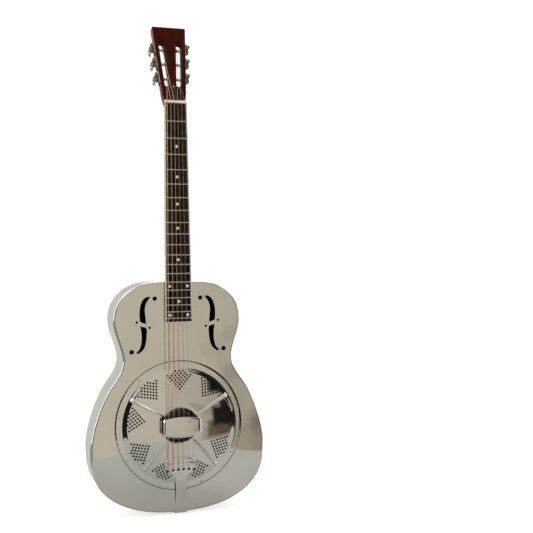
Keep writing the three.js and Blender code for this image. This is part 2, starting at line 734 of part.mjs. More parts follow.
// A right-handed screw thread about the y axis, as a skin along its helix.
function threadSolid(length) {
  const pitch = Math.PI * GEAR_MODULE;
  const perTurn = 8;
  const steps = Math.round((length / pitch) * perTurn);
  const root = 1.4;
  const tip = WORM_PITCH_RADIUS + 0.72;
  const section = [[root, -0.6], [tip, -0.2], [tip, 0.2], [root, 0.6]];
  const rings = [];
  for (let k = -steps / 2; k <= steps / 2; k++) {
    // At k = 0 the thread's crest is on the side that faces the gear, -z.
    const angle = (k / perTurn) * 2 * Math.PI;
    rings.push(
      section.map(
        ([r, along]) =>
          new THREE.Vector3(-r * Math.sin(angle), along + (k / perTurn) * pitch, -r * Math.cos(angle)),
      ),
    );
  }
  return loftSolid(rings);
}

function wormSolid() {
  const shaft = rodSolid([0, -9.5, 0], [0, 19, 0], SHAFT_RADIUS, 10);
  const core = rodSolid([0, -EAR_Y + GAP, 0], [0, EAR_Y - GAP, 0], 1.68, 10);
  const collar = rodSolid([0, EAR_Y + PLATE_THICK + GAP, 0], [0, EAR_Y + PLATE_THICK + 2.5, 0], 2.6, 12);
  return shaft.add(core).add(threadSolid(7)).add(collar);
}

// A flat kidney-shaped button about the end of the shaft, long across it.
function buttonSolid() {
  const rings = [];
  const steps = 16;
  for (const [x, scale] of [[-2.8, 0.72], [-1.6, 0.96], [1.6, 0.96], [2.8, 0.72]]) {
    const ring = [];
    for (let k = 0; k < steps; k++) {
      const angle = (k / steps) * 2 * Math.PI;
      const waist = 1 - 0.22 * Math.exp(-Math.pow(Math.cos(angle) / 0.45, 2)) * Math.max(0, Math.sin(angle));
      const along = 6.2 * Math.sin(angle) * waist;
      ring.push(new THREE.Vector3(x, 23.5 + along * scale, 9.6 * Math.cos(angle) * scale));
    }
    rings.push(ring);
  }
  const bore = rodSolid([0, 10, 0], [0, 19 + GAP, 0], SHAFT_RADIUS + GAP, 10);
  return loftSolid(rings).subtract(bore);
}

function gearSolid(side) {
  const pitchRadius = (GEAR_TEETH * GEAR_MODULE) / 2;
  const tip = pitchRadius + 0.7;
  const root = pitchRadius - 0.95;
  const shape = new THREE.Shape();
  const points = [];
  for (let k = 0; k < GEAR_TEETH; k++) {
    // A tooth space is centred on +z, where the worm's thread is at rest.
    const middle = ((k + 0.5) / GEAR_TEETH) * 2 * Math.PI + Math.PI / 2;
    for (const [radius, half] of [[root, 0.68], [tip, 0.34]])
      points.push([radius, middle - half / radius]);
    for (const [radius, half] of [[tip, 0.34], [root, 0.68]])
      points.push([radius, middle + half / radius]);
  }
  shape.setFromPoints(
    points.map(([radius, angle]) => new THREE.Vector2(radius * Math.cos(angle), radius * Math.sin(angle))),
  );
  const left = side * TUNER_OUT - GEAR_WIDTH / 2;
  const bore = rodSolid([left - 1, 0, 0], [left + GEAR_WIDTH + 1, 0, 0], 2.3, 10);
  return sideSolid(shape, left, left + GEAR_WIDTH).subtract(bore);
}

function rollerSolid(side, u) {
  const barrel = rodSolid([side * 3.2, 0, 0], [-side * rollerLength(u), 0, 0], ROLLER_RADIUS, 12);
  const end = rodSolid([0, 0, 0], [side * 8, 0, 0], 2, 10);
  return barrel.add(end);
}

function tuners() {
  const shaftZ = WORM_PITCH_RADIUS + (GEAR_TEETH * GEAR_MODULE) / 2;
  for (const { side, u, frame, number } of TUNERS) {
    headFrame.add(frame);
    add(`tuner_bracket_${number}`, bracketSolid(side), CHROME, frame);
    add(`roller_gear_${number}`, gearSolid(side), BRASS, frame);
    add(`string_roller_${number}`, rollerSolid(side, u), STEEL, frame);
    const wormFrame = new THREE.Group();
    wormFrame.position.set(side * TUNER_OUT, 0, shaftZ);
    frame.add(wormFrame);
    add(`worm_shaft_${number}`, wormSolid(), BRASS, wormFrame);
    add(`tuner_button_${number}`, buttonSolid(), CHROME, wormFrame);
  }
}

// ---------------------------------------------------------------- strings and tailpiece
function tailpiece() {
  const end = BODY_END_Z - GAP;
  const side = shapeOf([
    [TAIL_Y, TAIL_TOP_Z], [TAIL_Y, TAIL_HOLE_Z - 10], [-3, TAIL_BEND_Z], [-2.2, end - TAIL_THICK + 1],
    [-1, end - TAIL_THICK], [PIN_Y + 9, end - TAIL_THICK], [PIN_Y + 9, end], [0, end],
    [-GAP - 0.3, end + 0.6], [-3 + TAIL_THICK, TAIL_BEND_Z], [TAIL_Y + TAIL_THICK, TAIL_HOLE_Z - 10],
    [TAIL_Y + TAIL_THICK, TAIL_TOP_Z],
  ]);
  const face = new THREE.Shape();
  face.moveTo(-TAIL_HEAD_HALF, TAIL_TOP_Z - 5);
  face.quadraticCurveTo(0, TAIL_TOP_Z + 5, TAIL_HEAD_HALF, TAIL_TOP_Z - 5);
  face.lineTo(TAIL_HEAD_HALF, TAIL_HOLE_Z - 3);
  face.bezierCurveTo(
    TAIL_HEAD_HALF - 8, TAIL_NARROWS_Z, TAIL_STEM_HALF + 1, TAIL_NARROWS_Z, TAIL_STEM_HALF, TAIL_STEM_Z,
  );
  face.lineTo(TAIL_STEM_HALF, end - 10);
  face.lineTo(-TAIL_STEM_HALF, end - 10);
  face.lineTo(-TAIL_STEM_HALF, TAIL_STEM_Z);
  face.bezierCurveTo(
    -TAIL_STEM_HALF - 1, TAIL_NARROWS_Z, -TAIL_HEAD_HALF + 8, TAIL_NARROWS_Z,
    -TAIL_HEAD_HALF, TAIL_HOLE_Z - 3,
  );
  let piece = sideSolid(side, -40, 40).intersect(plateSolid(face, -30, 90));
  for (let i = 0; i < 6; i++) {
    const x = STRING_AT_TAIL * (i - 2.5);
    piece = piece.subtract(rodSolid([x, TAIL_Y - 3, TAIL_HOLE_Z], [x, TAIL_Y + 4, TAIL_HOLE_Z], 1.5, 8));
  }
  const pinHole = rodSolid([0, PIN_Y, end - 4], [0, PIN_Y, end + 4], 3.7, 12);
  add("tailpiece", piece.subtract(pinHole), CHROME);
}

// The end pin has a low flat head, which holds the tailpiece against the tail.
function endPin() {
  const start = BODY_END_Z - GAP - TAIL_THICK;
  const profile = [
    [0, start + PIN_LENGTH], [3.3, start + PIN_LENGTH], [3.3, start - GAP], [PIN_HEAD, start - GAP],
    [PIN_HEAD, start - PIN_HEAD_THICK + 0.6], [PIN_HEAD - 0.6, start - PIN_HEAD_THICK],
    [0, start - PIN_HEAD_THICK],
  ];
  const points = profile.map(([r, z]) => new THREE.Vector2(r, z));
  const geometry = new THREE.LatheGeometry(points, 24);
  geometry.rotateX(Math.PI / 2);
  geometry.translate(0, PIN_Y, 0);
  add("end_pin", solid(geometry), CHROME);
}

// A round bar through points, its joints mitred.
function wireSolid(points, radius, sides = 6) {
  const rings = points.map((point, i) => {
    const before = points[Math.max(0, i - 1)];
    const after = points[Math.min(points.length - 1, i + 1)];
    const along = after.clone().sub(before).normalize();
    const across = new THREE.Vector3(1, 0, 0).cross(along).normalize();
    const side = along.clone().cross(across);
    const ring = [];
    for (let k = 0; k < sides; k++) {
      const angle = (k / sides) * 2 * Math.PI;
      ring.push(
        point
          .clone()
          .addScaledVector(across, radius * Math.cos(angle))
          .addScaledVector(side, radius * Math.sin(angle)),
      );
    }
    return ring;
  });
  return loftSolid(rings);
}

// String 1 is the bass string, on the left, which runs to the lowest left roller.
function strings() {
  TUNERS.forEach(({ side, u, frame }, i) => {
    const radius = STRING_RADII[i];
    const place = i - 2.5;
    const clear = radius + GAP;
    const overRoller = HEAD_THICK / 2 - ROLLER_RADIUS - clear;
    const headPoint = new THREE.Vector3(side * (slotCentre(u) - 1.8), overRoller, u);
    headPoint.applyMatrix4(headFrame.matrix);
    const saddleCrown = SADDLE_TOP_Y - 0.05 + 0.035 * place * place;
    const points = [
      new THREE.Vector3(STRING_AT_TAIL * place, TAIL_Y - clear, TAIL_HOLE_Z + 2),
      new THREE.Vector3(STRING_AT_SADDLE * place, saddleCrown - clear, CONE_Z - 1),
      new THREE.Vector3(STRING_AT_SADDLE * place, saddleCrown - clear, CONE_Z + 1),
      new THREE.Vector3(STRING_AT_NUT * place, NUT_TOP_Y - clear, 0),
      new THREE.Vector3(STRING_AT_NUT * place, NUT_TOP_Y - clear, NUT_LENGTH),
      headPoint,
    ];
    add(`string_${i + 1}`, wireSolid(points, radius), i < 4 ? BRONZE : STEEL);
  });
}

topPlate();
sideRim();
backPlate();
coneWell();
resonatorCone();
bridge();
coverplate();
handRest();
neck();
neckStick();
trussRod();
trussCover();
fretboard();
tuners();
tailpiece();
endPin();
strings();

export default guitar;
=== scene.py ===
"""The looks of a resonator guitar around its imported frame.

Shapes are in millimetres, in the frame's own axes.
"""
import math

import bmesh
import bpy
from mathutils import Matrix, Vector
from mathutils.geometry import delaunay_2d_cdt

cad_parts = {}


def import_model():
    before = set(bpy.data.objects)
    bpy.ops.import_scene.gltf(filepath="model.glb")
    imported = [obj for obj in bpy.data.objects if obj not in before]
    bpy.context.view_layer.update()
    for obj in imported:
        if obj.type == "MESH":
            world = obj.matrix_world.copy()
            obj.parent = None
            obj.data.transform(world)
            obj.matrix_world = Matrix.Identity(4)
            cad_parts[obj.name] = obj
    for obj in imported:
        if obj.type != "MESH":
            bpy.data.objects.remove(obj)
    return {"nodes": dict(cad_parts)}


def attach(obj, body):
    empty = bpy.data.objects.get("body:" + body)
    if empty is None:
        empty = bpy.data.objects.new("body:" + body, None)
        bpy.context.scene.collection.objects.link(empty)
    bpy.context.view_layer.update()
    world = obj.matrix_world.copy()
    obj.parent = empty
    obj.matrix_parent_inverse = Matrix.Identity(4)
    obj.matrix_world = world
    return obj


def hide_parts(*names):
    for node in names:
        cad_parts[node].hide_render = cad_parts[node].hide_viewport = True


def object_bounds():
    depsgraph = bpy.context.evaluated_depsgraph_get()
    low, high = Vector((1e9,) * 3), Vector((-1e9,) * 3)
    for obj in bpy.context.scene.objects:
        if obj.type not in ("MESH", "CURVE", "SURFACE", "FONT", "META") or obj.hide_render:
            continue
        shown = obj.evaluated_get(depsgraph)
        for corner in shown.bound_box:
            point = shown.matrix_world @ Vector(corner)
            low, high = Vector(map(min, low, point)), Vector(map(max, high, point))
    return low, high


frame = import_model()
CAD_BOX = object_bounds()
MM = 0.001
GUITAR = "guitar"

# ---------------------------------------------------------------- sizes, as in the frame
SHEET = 1.0
BODY_DEPTH = 83.0
BODY_TOP_Z = -357.6
BODY_END_Z = -823.0
# Right half of the body outline: x, z, heading in degrees, handle out, handle in to the next knot.
OUTLINE = [
    (0, BODY_TOP_Z, 0, 56, 26),
    (94.6, -371.5, -31, 24, 28),
    (130, -434.5, -90, 26.5, 21),
    (111.8, -512.3, -90, 28, 31.5),
    (147.5, -584, -63, 32, 32.5),
    (178, -690, -90, 39, 46.5),
    (135.5, -789.5, -144.5, 39.5, 57.5),
    (0, BODY_END_Z, -180, 0, 0),
]
STRETCH_STEPS = (50, 36, 36, 36, 44, 44, 60)
EDGE_RADIUS = 3.4
RIM_SHEET = 1.4
BACK_SHEET = 1.9
BACK_EDGE = 1.3
BACK_BAND = 20
BACK_RISE = 7
BODY_MIDDLE = Vector((0, 0, -0.6))  # in metres
# Right half of the flat middle of the back, with one knot for each knot of the outline.
RAISED_MIDDLE = [
    (0, -400, 0, 42, 16),
    (62, -407, -30, 14, 20),
    (80, -445, -90, 20, 26),
    (46, -522, -90, 16, 24),
    (75, -580, -58, 30, 36),
    (127, -690, -90, 28, 32),
    (98, -750, -145, 28, 40),
    (0, -768, -180, 0, 0),
]
# Right sound hole: the edges of its two long openings and its dots (x, z, radius).
HOLE_HIGH_OUTER = [(55, -388.8), (59.5, -387.6), (65, -389), (71, -394.3), (75, -402.5), (77.6, -416),
                   (77.6, -430), (76, -437.5), (64.6, -442)]
HOLE_HIGH_INNER = [(64.6, -442), (66, -428), (67, -414), (64.8, -402), (59.5, -393.5), (55, -388.8)]
HOLE_LOW_INNER = [(76.5, -446.5), (74.2, -462), (74.7, -478), (78.3, -491), (86.3, -499.4)]
HOLE_LOW_OUTER = [(86.3, -499.4), (80.5, -500.3), (73, -495), (67.6, -486.5), (65, -475), (63.9, -463),
                  (64.6, -450.5), (76.5, -446.5)]
HOLE_DOTS = [(46.8, -391.7, 4.4), (94.6, -496.8, 4.6), (83.6, -438.4, 2.5), (57.9, -449.7, 2.5)]

CONE_Z = -647.7
WELL_RADIUS = 120
WELL_SHELF_Y = 17
CONE_RADIUS = 118.5
CONE_TOP_RADIUS = 27
CONE_TOP_Y = 1.5
BISCUIT_RADIUS = 26
BISCUIT_THICK = 7
SADDLE_LENGTH = 55
SADDLE_THICK = 3
SADDLE_TOP_Y = -19

COVER_RADIUS = 130.3
COVER_STEP_RADIUS = 117.2
COVER_DISH_RADIUS = 107
COVER_OPENING = 34
COVER_CENTRE_Y = -8
COVER_DISH_Y = -3.9
COVER_RING_Y = -1.3
COVER_SHADED_EDGE = 0.9  # the outer ring of the plate, given painted shade as a dark line round its edge
RIB_ANGLES = (60, -60, 139, -139)
RIB_WIDTHS = (2.2, 4.4)  # from the middle to a foot, at the inner and the outer end
RIB_HEIGHTS = (0.8, 2.2)
PATCH_ANGLES = (0, 40, -40, 80, -80, 120, -120, 160, -160)
PATCH_INNER = 74
PATCH_STEP = (3.85, 4.45)
PATCH_HOLE = 2.1
PATCH_HOLE_STEPS = 12
COVER_EDGE_STEPS = 240
COVER_OPENING_STEPS = 96
COVER_SCREW_RADIUS = 123.6

REST_HALF_WIDTH = 39
REST_HEIGHT = 41
REST_TOP_Y = -31
REST_SHEET = 1.3

NUT_HALF = 22.25
NUT_LENGTH = 6
NUT_TOP_Y = -12
SCALE = 648
BOARD_END_Z = -440.5
BOARD_END_HALF = 27.5
BOARD_TOP_Y = -10.4
NECK_TOP_Y = -4.4
BINDING = 1.8
NECK_BACK_AT_NUT = 11
NECK_BACK_AT_HEEL = 15
NECK_TURN_Z = -8  # where the shaft starts to turn into the head
HEEL_DEPTH_Y = 62
HEEL_START_Z = -302
HEEL_CAP_HEIGHT = 24
HEEL_CAP_HALF = 12

HEAD_TILT = math.radians(17.5)
HEAD_ORIGIN = Vector((0, -2, 6))
HEAD_LENGTH = 169.4
HEAD_THICK = 17.3
HEAD_TOP_HALF = 35.08
HEAD_FLARE_U = 18
HEAD_FLARE_HALF = 24.8
SLOT_FROM = 35
SLOT_TO = 135
SLOT_CENTRE_LOW = 11.9
SLOT_CENTRE_HIGH = 18.5
SLOT_HALF = 5.7
ROLLER_U = (52, 86, 119)
ROLLER_RADIUS = 3
TUNER_OUT = 5.3
GEAR_TEETH = 14
GEAR_MODULE = 0.8
WORM_PITCH_RADIUS = 2.4
SHAFT_RADIUS = 1.5
BUTTON_CENTRE = 23.7
BUTTON_HALF_LENGTH = 6.3
BUTTON_HALF_WIDTH = 9.7
EAR_Y = 6.6
PLATE_THICK = 1.2
WORM_UP = WORM_PITCH_RADIUS + GEAR_TEETH * GEAR_MODULE / 2

STRING_RADII = (0.71, 0.57, 0.46, 0.33, 0.22, 0.17)
WOUND = 4  # how many of the strings are wound
STRING_AT_NUT = 36.5 / 5
STRING_AT_SADDLE = 51.5 / 5
STRING_AT_TAIL = 10.8
TAIL_HOLE_Z = -735
TAIL_TOP_Z = -711
TAIL_HEAD_HALF = 31
TAIL_STEM_HALF = 10.6
TAIL_STEM_Z = -766
TAIL_WRAP_Z = -812
TAIL_Y = -9
TAIL_FOOT_Y = -2.6
TAIL_THICK = 1.6
LOBE_HALF = 8
LOBE_END_Z = -806
LOBE_DROP = 1.1
PIN_Y = 41.5
PIN_HEAD = 7.5


# ---------------------------------------------------------------- mesh helpers
def mix(a, b, t):
    return a + (b - a) * t


def clamp(value, low=0.0, high=1.0):
    return max(low, min(high, value))


def smoothstep(low, high, value):
    t = clamp((value - low) / (high - low))
    return t * t * (3 - 2 * t)


def new_object(name, mesh):
    piece = bpy.data.objects.new(name, mesh)
    bpy.context.scene.collection.objects.link(piece)
    return piece


def tidy_mesh(mesh, sharp=35.0, weld=0.0004):
    """Welds, turns the faces outwards and shades smooth but for edges sharper than the angle."""
    work = bmesh.new()
    work.from_mesh(mesh)
    bmesh.ops.remove_doubles(work, verts=work.verts, dist=weld * MM)
    bmesh.ops.recalc_face_normals(work, faces=work.faces)
    work.to_mesh(mesh)
    work.free()
    mesh.shade_smooth()
    mesh.set_sharp_from_angle(angle=math.radians(sharp))


def mesh_of(name, points, faces, sharp=35.0):
    mesh = bpy.data.meshes.new(name)
    mesh.from_pydata([Vector(p) * MM for p in points], [], faces)
    tidy_mesh(mesh, sharp)
    return mesh


def loft(rings, closed_ends=True):
    """Points and faces of a skin through rings of equal counts."""
    count = len(rings[0])
    points = [p for ring in rings for p in ring]
    faces = []
    for r in range(len(rings) - 1):
        for k in range(count):
            a = r * count + k
            b = r * count + (k + 1) % count
            faces.append((a, b, b + count, a + count))
    if closed_ends:
        faces.append(tuple(range(count)))
        last = (len(rings) - 1) * count
        faces.append(tuple(last + k for k in range(count)))
    return points, faces


def spun(profile, steps, centre=(0, 0, CONE_Z), upright=False):
    """Points and faces of a closed loop of (radius, along) turned about the Y axis, or Z when upright."""
    points, faces = [], []
    for c, s in turns(steps):
        for radius, along in profile:
            p = (radius * c, radius * s, along) if upright else (radius * c, along, radius * s)
            points.append(Vector(p) + Vector(centre))
    count = len(profile)
    for k in range(steps):
        for j in range(count):
            a = k * count + j
            b = k * count + (j + 1) % count
            c = ((k + 1) % steps) * count + (j + 1) % count
            d = ((k + 1) % steps) * count + j
            faces.append((a, b, c, d))
    return points, faces


def rod(start, end, radius, steps=24, chamfer=0.0):
    """Points and faces of a bar with rounded-off ends."""
    a, b = Vector(start), Vector(end)
    along = (b - a).normalized()
    across = along.orthogonal().normalized()
    side = along.cross(across)
    stations = [(0, radius - chamfer), (chamfer, radius)] if chamfer else [(0, radius)]
    length = (b - a).length
    stations += [(length - s, r) for s, r in reversed(stations)]
    rings = []
    for at, r in stations:
        rings.append([a + along * at + (across * c + side * s) * r for c, s in turns(steps)])
    return loft(rings)


def tube(path, radius, steps=12):
    """Points and faces of a round tube along points, without twist."""
    path = [Vector(p) for p in path]
    rings = []
    across = None
    for i, p in enumerate(path):
        along = (path[min(i + 1, len(path) - 1)] - path[max(i - 1, 0)]).normalized()
        if across is None:
            across = along.orthogonal().normalized()
        across = (across - along * across.dot(along)).normalized()
        side = along.cross(across)
        rings.append([p + (across * c + side * s) * radius for c, s in turns(steps)])
    return loft(rings)


def joined(*shapes):
    """Several points-and-faces shapes as one."""
    points, faces = [], []
    for more_points, more_faces in shapes:
        base = len(points)
        points += list(more_points)
        faces += [tuple(i + base for i in face) for face in more_faces]
    return points, faces


def moved(shape, matrix):
    points, faces = shape
    return [matrix @ Vector(p) for p in points], faces


def plate_mesh(name, loops, front, back, bevel=0.3, bevel_steps=2):
    """A flat plate from loops of (x, z), holes included, with rounded edges."""
    curve = bpy.data.curves.new(name, "CURVE")
    curve.dimensions = "2D"
    curve.fill_mode = "BOTH"
    curve.extrude = ((back - front) / 2 - bevel) * MM
    curve.bevel_depth = bevel * MM
    curve.bevel_resolution = bevel_steps
    curve.offset = -bevel * MM
    for loop in loops:
        spline = curve.splines.new("POLY")
        spline.points.add(len(loop) - 1)
        for point, (x, z) in zip(spline.points, loop):
            point.co = (x * MM, z * MM, 0, 1)
        spline.use_cyclic_u = True
    holder = new_object(name + "_curve", curve)
    graph = bpy.context.evaluated_depsgraph_get()
    graph.update()
    mesh = bpy.data.meshes.new_from_object(holder.evaluated_get(graph))
    bpy.data.objects.remove(holder)
    bpy.data.curves.remove(curve)
    mesh.transform(Matrix.Rotation(math.pi / 2, 4, "X"))
    mesh.transform(Matrix.Translation((0, (front + back) / 2 * MM, 0)))
    tidy_mesh(mesh)
    flat_faces(mesh)
    return mesh


def flat_faces(mesh):
    """Shades the faces that square the Y axis flat, so that wide plates reflect cleanly."""
    for face in mesh.polygons:
        if abs(face.normal.y) > 0.9999:
            face.use_smooth = False


def dress(piece, material, body=GUITAR, replaced=()):
    """Gives a piece its material and the body it rides on."""
    piece.data.materials.clear()
    piece.data.materials.append(material)
    return place_piece(piece, body, replaced)


def place_piece(piece, body=GUITAR, replaced=()):
    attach(piece, body)
    if replaced:
        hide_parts(*replaced)
    return piece


def add(name, shape, material, slot, body=GUITAR, replaced=(), sharp=35.0):
    points, faces = shape
    piece = new_object(name, mesh_of(name, points, faces, sharp))
    return dress(piece, material, body, replaced)


def turns(steps):
    """Cosine and sine at equal angles all the way round."""
    angles = [2 * math.pi * k / steps for k in range(steps)]
    return [(math.cos(angle), math.sin(angle)) for angle in angles]


def quarter(steps, first=0):
    """One less the cosine and the sine, at equal angles through a quarter turn: the run of a rounded edge."""
    angles = [math.pi / 2 * k / steps for k in range(first, steps + 1)]
    return [(1 - math.cos(angle), 1 - math.sin(angle)) for angle in angles]


def circle(x, z, radius, steps):
    return [(x + radius * c, z + radius * s) for c, s in turns(steps)]


def bezier(p0, p1, p2, p3, steps):
    made = []
    for i in range(steps + 1):
        t = i / steps
        u = 1 - t
        made.append(p0 * u**3 + p1 * 3 * u * u * t + p2 * 3 * u * t * t + p3 * t**3)
    return made


def through(points, steps):
    """A smooth open curve through points, as Catmull and Rom draw it."""
    points = [Vector(p) for p in points]
    made = [points[0]]
    for i in range(len(points) - 1):
        p0 = points[max(i - 1, 0)]
        p1, p2 = points[i], points[i + 1]
        p3 = points[min(i + 2, len(points) - 1)]
        made += bezier(p1, p1 + (p2 - p0) / 6, p2 - (p3 - p1) / 6, p2, steps)[1:]
    return made


# ---------------------------------------------------------------- materials
def new_material(name):
    material = bpy.data.materials.new(name)
    material.use_nodes = True
    nodes = material.node_tree.nodes
    return material, nodes, material.node_tree.links, nodes["Principled BSDF"]


def object_coordinates(nodes, links, scale=(1, 1, 1)):
    place = nodes.new("ShaderNodeTexCoord")
    mapping = nodes.new("ShaderNodeMapping")
    mapping.inputs["Scale"].default_value = scale
    links.new(place.outputs["Object"], mapping.inputs["Vector"])
    return mapping.outputs["Vector"]


def noise(nodes, links, vector, scale, detail=3.0, roughness=0.5):
    made = nodes.new("ShaderNodeTexNoise")
    made.inputs["Scale"].default_value = scale
    made.inputs["Detail"].default_value = detail
    made.inputs["Roughness"].default_value = roughness
    links.new(vector, made.inputs["Vector"])
    return made.outputs["Fac"]


def ramp(nodes, links, value, stops):
    """A colour ramp from (place, colour) stops."""
    made = nodes.new("ShaderNodeValToRGB")
    while len(made.color_ramp.elements) < len(stops):
        made.color_ramp.elements.new(0.5)
    for element, (place, colour) in zip(made.color_ramp.elements, stops):
        element.position = place
        element.color = (*colour, 1)
    links.new(value, made.inputs["Fac"])
    return made.outputs["Color"]


def bump(nodes, links, height, distance, strength):
    made = nodes.new("ShaderNodeBump")
    made.inputs["Distance"].default_value = distance
    made.inputs["Strength"].default_value = strength
    links.new(height, made.inputs["Height"])
    return made.outputs["Normal"]


def grey(value):
    return (value, value, value)


def polished_plate(name, tint, low, high, waviness):
    """Nickel or chrome plate: a faint cloudiness, wiped-on smears and a slow ripple in its reflections."""
    material, nodes, links, shader = new_material(name)
    place = object_coordinates(nodes, links)
    cloud = noise(nodes, links, place, 9.0, 4.0)
    dark = tuple(c * 0.93 for c in tint)
    links.new(ramp(nodes, links, cloud, [(0.3, dark), (0.75, tint)]), shader.inputs["Base Color"])
    smear = noise(nodes, links, object_coordinates(nodes, links, (60, 60, 14)), 3.0, 5.0, 0.6)
    links.new(ramp(nodes, links, smear, [(0.35, grey(low)), (0.8, grey(high))]), shader.inputs["Roughness"])
    ripple = noise(nodes, links, place, 7.0, 1.0)
    links.new(bump(nodes, links, ripple, waviness, 1.0), shader.inputs["Normal"])
    shader.inputs["Metallic"].default_value = 1.0
    return material


def lacquered_wood(name, pale, dark, scale, roughness, shine, coat):
    """Straight-grained wood along z with fine pores, under a lacquer."""
    material, nodes, links, shader = new_material(name)
    wide = object_coordinates(nodes, links, (1, 1, 0.06))
    band = noise(nodes, links, wide, 90.0 * scale, 4.0, 0.55)
    figure = noise(nodes, links, object_coordinates(nodes, links, (1, 1, 0.25)), 14.0 * scale, 2.0)
    colour = ramp(nodes, links, band, [(0.3, dark), (0.62, pale)])
    slow = ramp(nodes, links, figure, [(0.3, grey(0.72)), (0.7, grey(1.15))])
    mixed = nodes.new("ShaderNodeMix")
    mixed.data_type = "RGBA"
    mixed.blend_type = "MULTIPLY"
    mixed.inputs["Factor"].default_value = 1.0
    links.new(colour, mixed.inputs["A"])
    links.new(slow, mixed.inputs["B"])
    links.new(mixed.outputs["Result"], shader.inputs["Base Color"])
    pores = noise(nodes, links, object_coordinates(nodes, links, (1, 1, 0.03)), 700.0 * scale, 2.0)
    links.new(ramp(nodes, links, pores, [(0.3, grey(roughness + 0.12)), (0.6, grey(roughness))]),
              shader.inputs["Roughness"])
    links.new(bump(nodes, links, pores, 0.00012, 0.35), shader.inputs["Normal"])
    shader.inputs["Specular IOR Level"].default_value = shine
    shader.inputs["Coat Weight"].default_value = coat
    shader.inputs["Coat Roughness"].default_value = 0.07
    return material


def moulded(name, pale, dark, roughness, scale=60.0):
    """A smooth hard material with slow colour variation and a little surface unevenness."""
    material, nodes, links, shader = new_material(name)
    place = object_coordinates(nodes, links)
    cloud = noise(nodes, links, place, scale, 4.0)
    links.new(ramp(nodes, links, cloud, [(0.3, dark), (0.7, pale)]), shader.inputs["Base Color"])
    fine = noise(nodes, links, place, scale * 12, 3.0)
    links.new(ramp(nodes, links, fine, [(0.3, grey(roughness)), (0.7, grey(roughness + 0.1))]),
              shader.inputs["Roughness"])
    links.new(bump(nodes, links, fine, 0.00005, 0.4), shader.inputs["Normal"])
    return material


def worked_metal(name, pale, dark, low, high, scale, stretch=(1, 1, 1)):
    """Bare or aged metal: its tone changes in slow random clouds, with fine marks along one direction."""
    material, nodes, links, shader = new_material(name)
    place = object_coordinates(nodes, links)
    cloud = noise(nodes, links, place, scale, 5.0, 0.6)
    links.new(ramp(nodes, links, cloud, [(0.35, dark), (0.65, pale)]), shader.inputs["Base Color"])
    marks = noise(nodes, links, object_coordinates(nodes, links, stretch), scale * 9, 3.0)
    links.new(ramp(nodes, links, marks, [(0.3, grey(low)), (0.7, grey(high))]), shader.inputs["Roughness"])
    links.new(bump(nodes, links, marks, 0.00004, 0.5), shader.inputs["Normal"])
    shader.inputs["Metallic"].default_value = 1.0
    return material


NICKEL = polished_plate("polished_nickel", (0.80, 0.785, 0.745), 0.02, 0.06, 0.0016)
CHROME = polished_plate("bright_chrome", (0.80, 0.80, 0.79), 0.03, 0.08, 0.0002)
# Near-black metal that is painted shade: inside the body, in the cone well, behind the tail holes, under the
# tailpiece and round the coverplate's edge.
PAINTED_SHADE = worked_metal("painted_shade_inside", (0.030, 0.027, 0.024), (0.012, 0.011, 0.010), 0.55, 0.75, 60.0)
# The cone's aluminium, darkened with painted shade because it sits in the dark inside of the body.
ALUMINIUM_DARKENED_FOR_SHADE = worked_metal("spun_aluminium", (0.17, 0.17, 0.17), (0.09, 0.09, 0.095), 0.4, 0.6, 40.0)
BRASS = worked_metal("aged_brass", (0.42, 0.32, 0.16), (0.16, 0.12, 0.06), 0.22, 0.45, 350.0)
SATIN = worked_metal("satin_nickel", (0.34, 0.32, 0.27), (0.14, 0.13, 0.11), 0.28, 0.5, 300.0)
STEEL = worked_metal("bright_steel", (0.66, 0.65, 0.63), (0.42, 0.41, 0.39), 0.18, 0.35, 250.0, (1, 1, 0.1))
MAHOGANY = lacquered_wood("lacquered_mahogany", (0.33, 0.052, 0.011), (0.150, 0.020, 0.005),
                          scale=1.0, roughness=0.30, shine=0.14, coat=0.06)
# The head's own dark veneer; the same colour is painted shade on the walls of the slots.
VENEER_AND_SLOT_SHADE = lacquered_wood("head_veneer_and_slot_shade", (0.066, 0.0065, 0.0030), (0.026, 0.0030, 0.0018),
                        scale=1.0, roughness=0.32, shine=0.06, coat=0.0)
ROSEWOOD = lacquered_wood("oiled_rosewood", (0.030, 0.017, 0.011), (0.009, 0.005, 0.004),
                          scale=1.6, roughness=0.45, shine=0.08, coat=0.0)
# Maple painted almost black: painted shade for the biscuit and saddle, which sit in the dark opening of the
# coverplate.
MAPLE_DARKENED_FOR_SHADE = lacquered_wood("maple_painted_dark_for_shade", (0.050, 0.034, 0.024), (0.022, 0.015, 0.011),
                       scale=1.2, roughness=0.5, shine=0.2, coat=0.0)
CREAM = moulded("cream_binding", (0.82, 0.76, 0.58), (0.70, 0.63, 0.45), 0.28)
BONE = moulded("bone", (0.94, 0.90, 0.77), (0.86, 0.80, 0.66), 0.3, 150.0)
PEARL = moulded("pearl", (0.93, 0.93, 0.90), (0.72, 0.76, 0.78), 0.15, 400.0)
BLACK = moulded("black_plastic", (0.022, 0.022, 0.025), (0.012, 0.012, 0.014), 0.18)


def wound_bronze():
    """Bronze wire wound round a string: fine turns, with painted shade between the crests."""
    material, nodes, links, shader = new_material("wound_bronze")
    wave = nodes.new("ShaderNodeTexWave")
    wave.bands_direction = "Z"
    wave.inputs["Scale"].default_value = 420.0
    links.new(object_coordinates(nodes, links), wave.inputs["Vector"])
    links.new(ramp(nodes, links, wave.outputs["Fac"], [(0.1, (0.33, 0.17, 0.10)), (0.6, (0.78, 0.50, 0.36))]),
              shader.inputs["Base Color"])
    links.new(bump(nodes, links, wave.outputs["Fac"], 0.0001, 0.6), shader.inputs["Normal"])
    shader.inputs["Metallic"].default_value = 1.0
    shader.inputs["Roughness"].default_value = 0.34
    return material


BRONZE = wound_bronze()


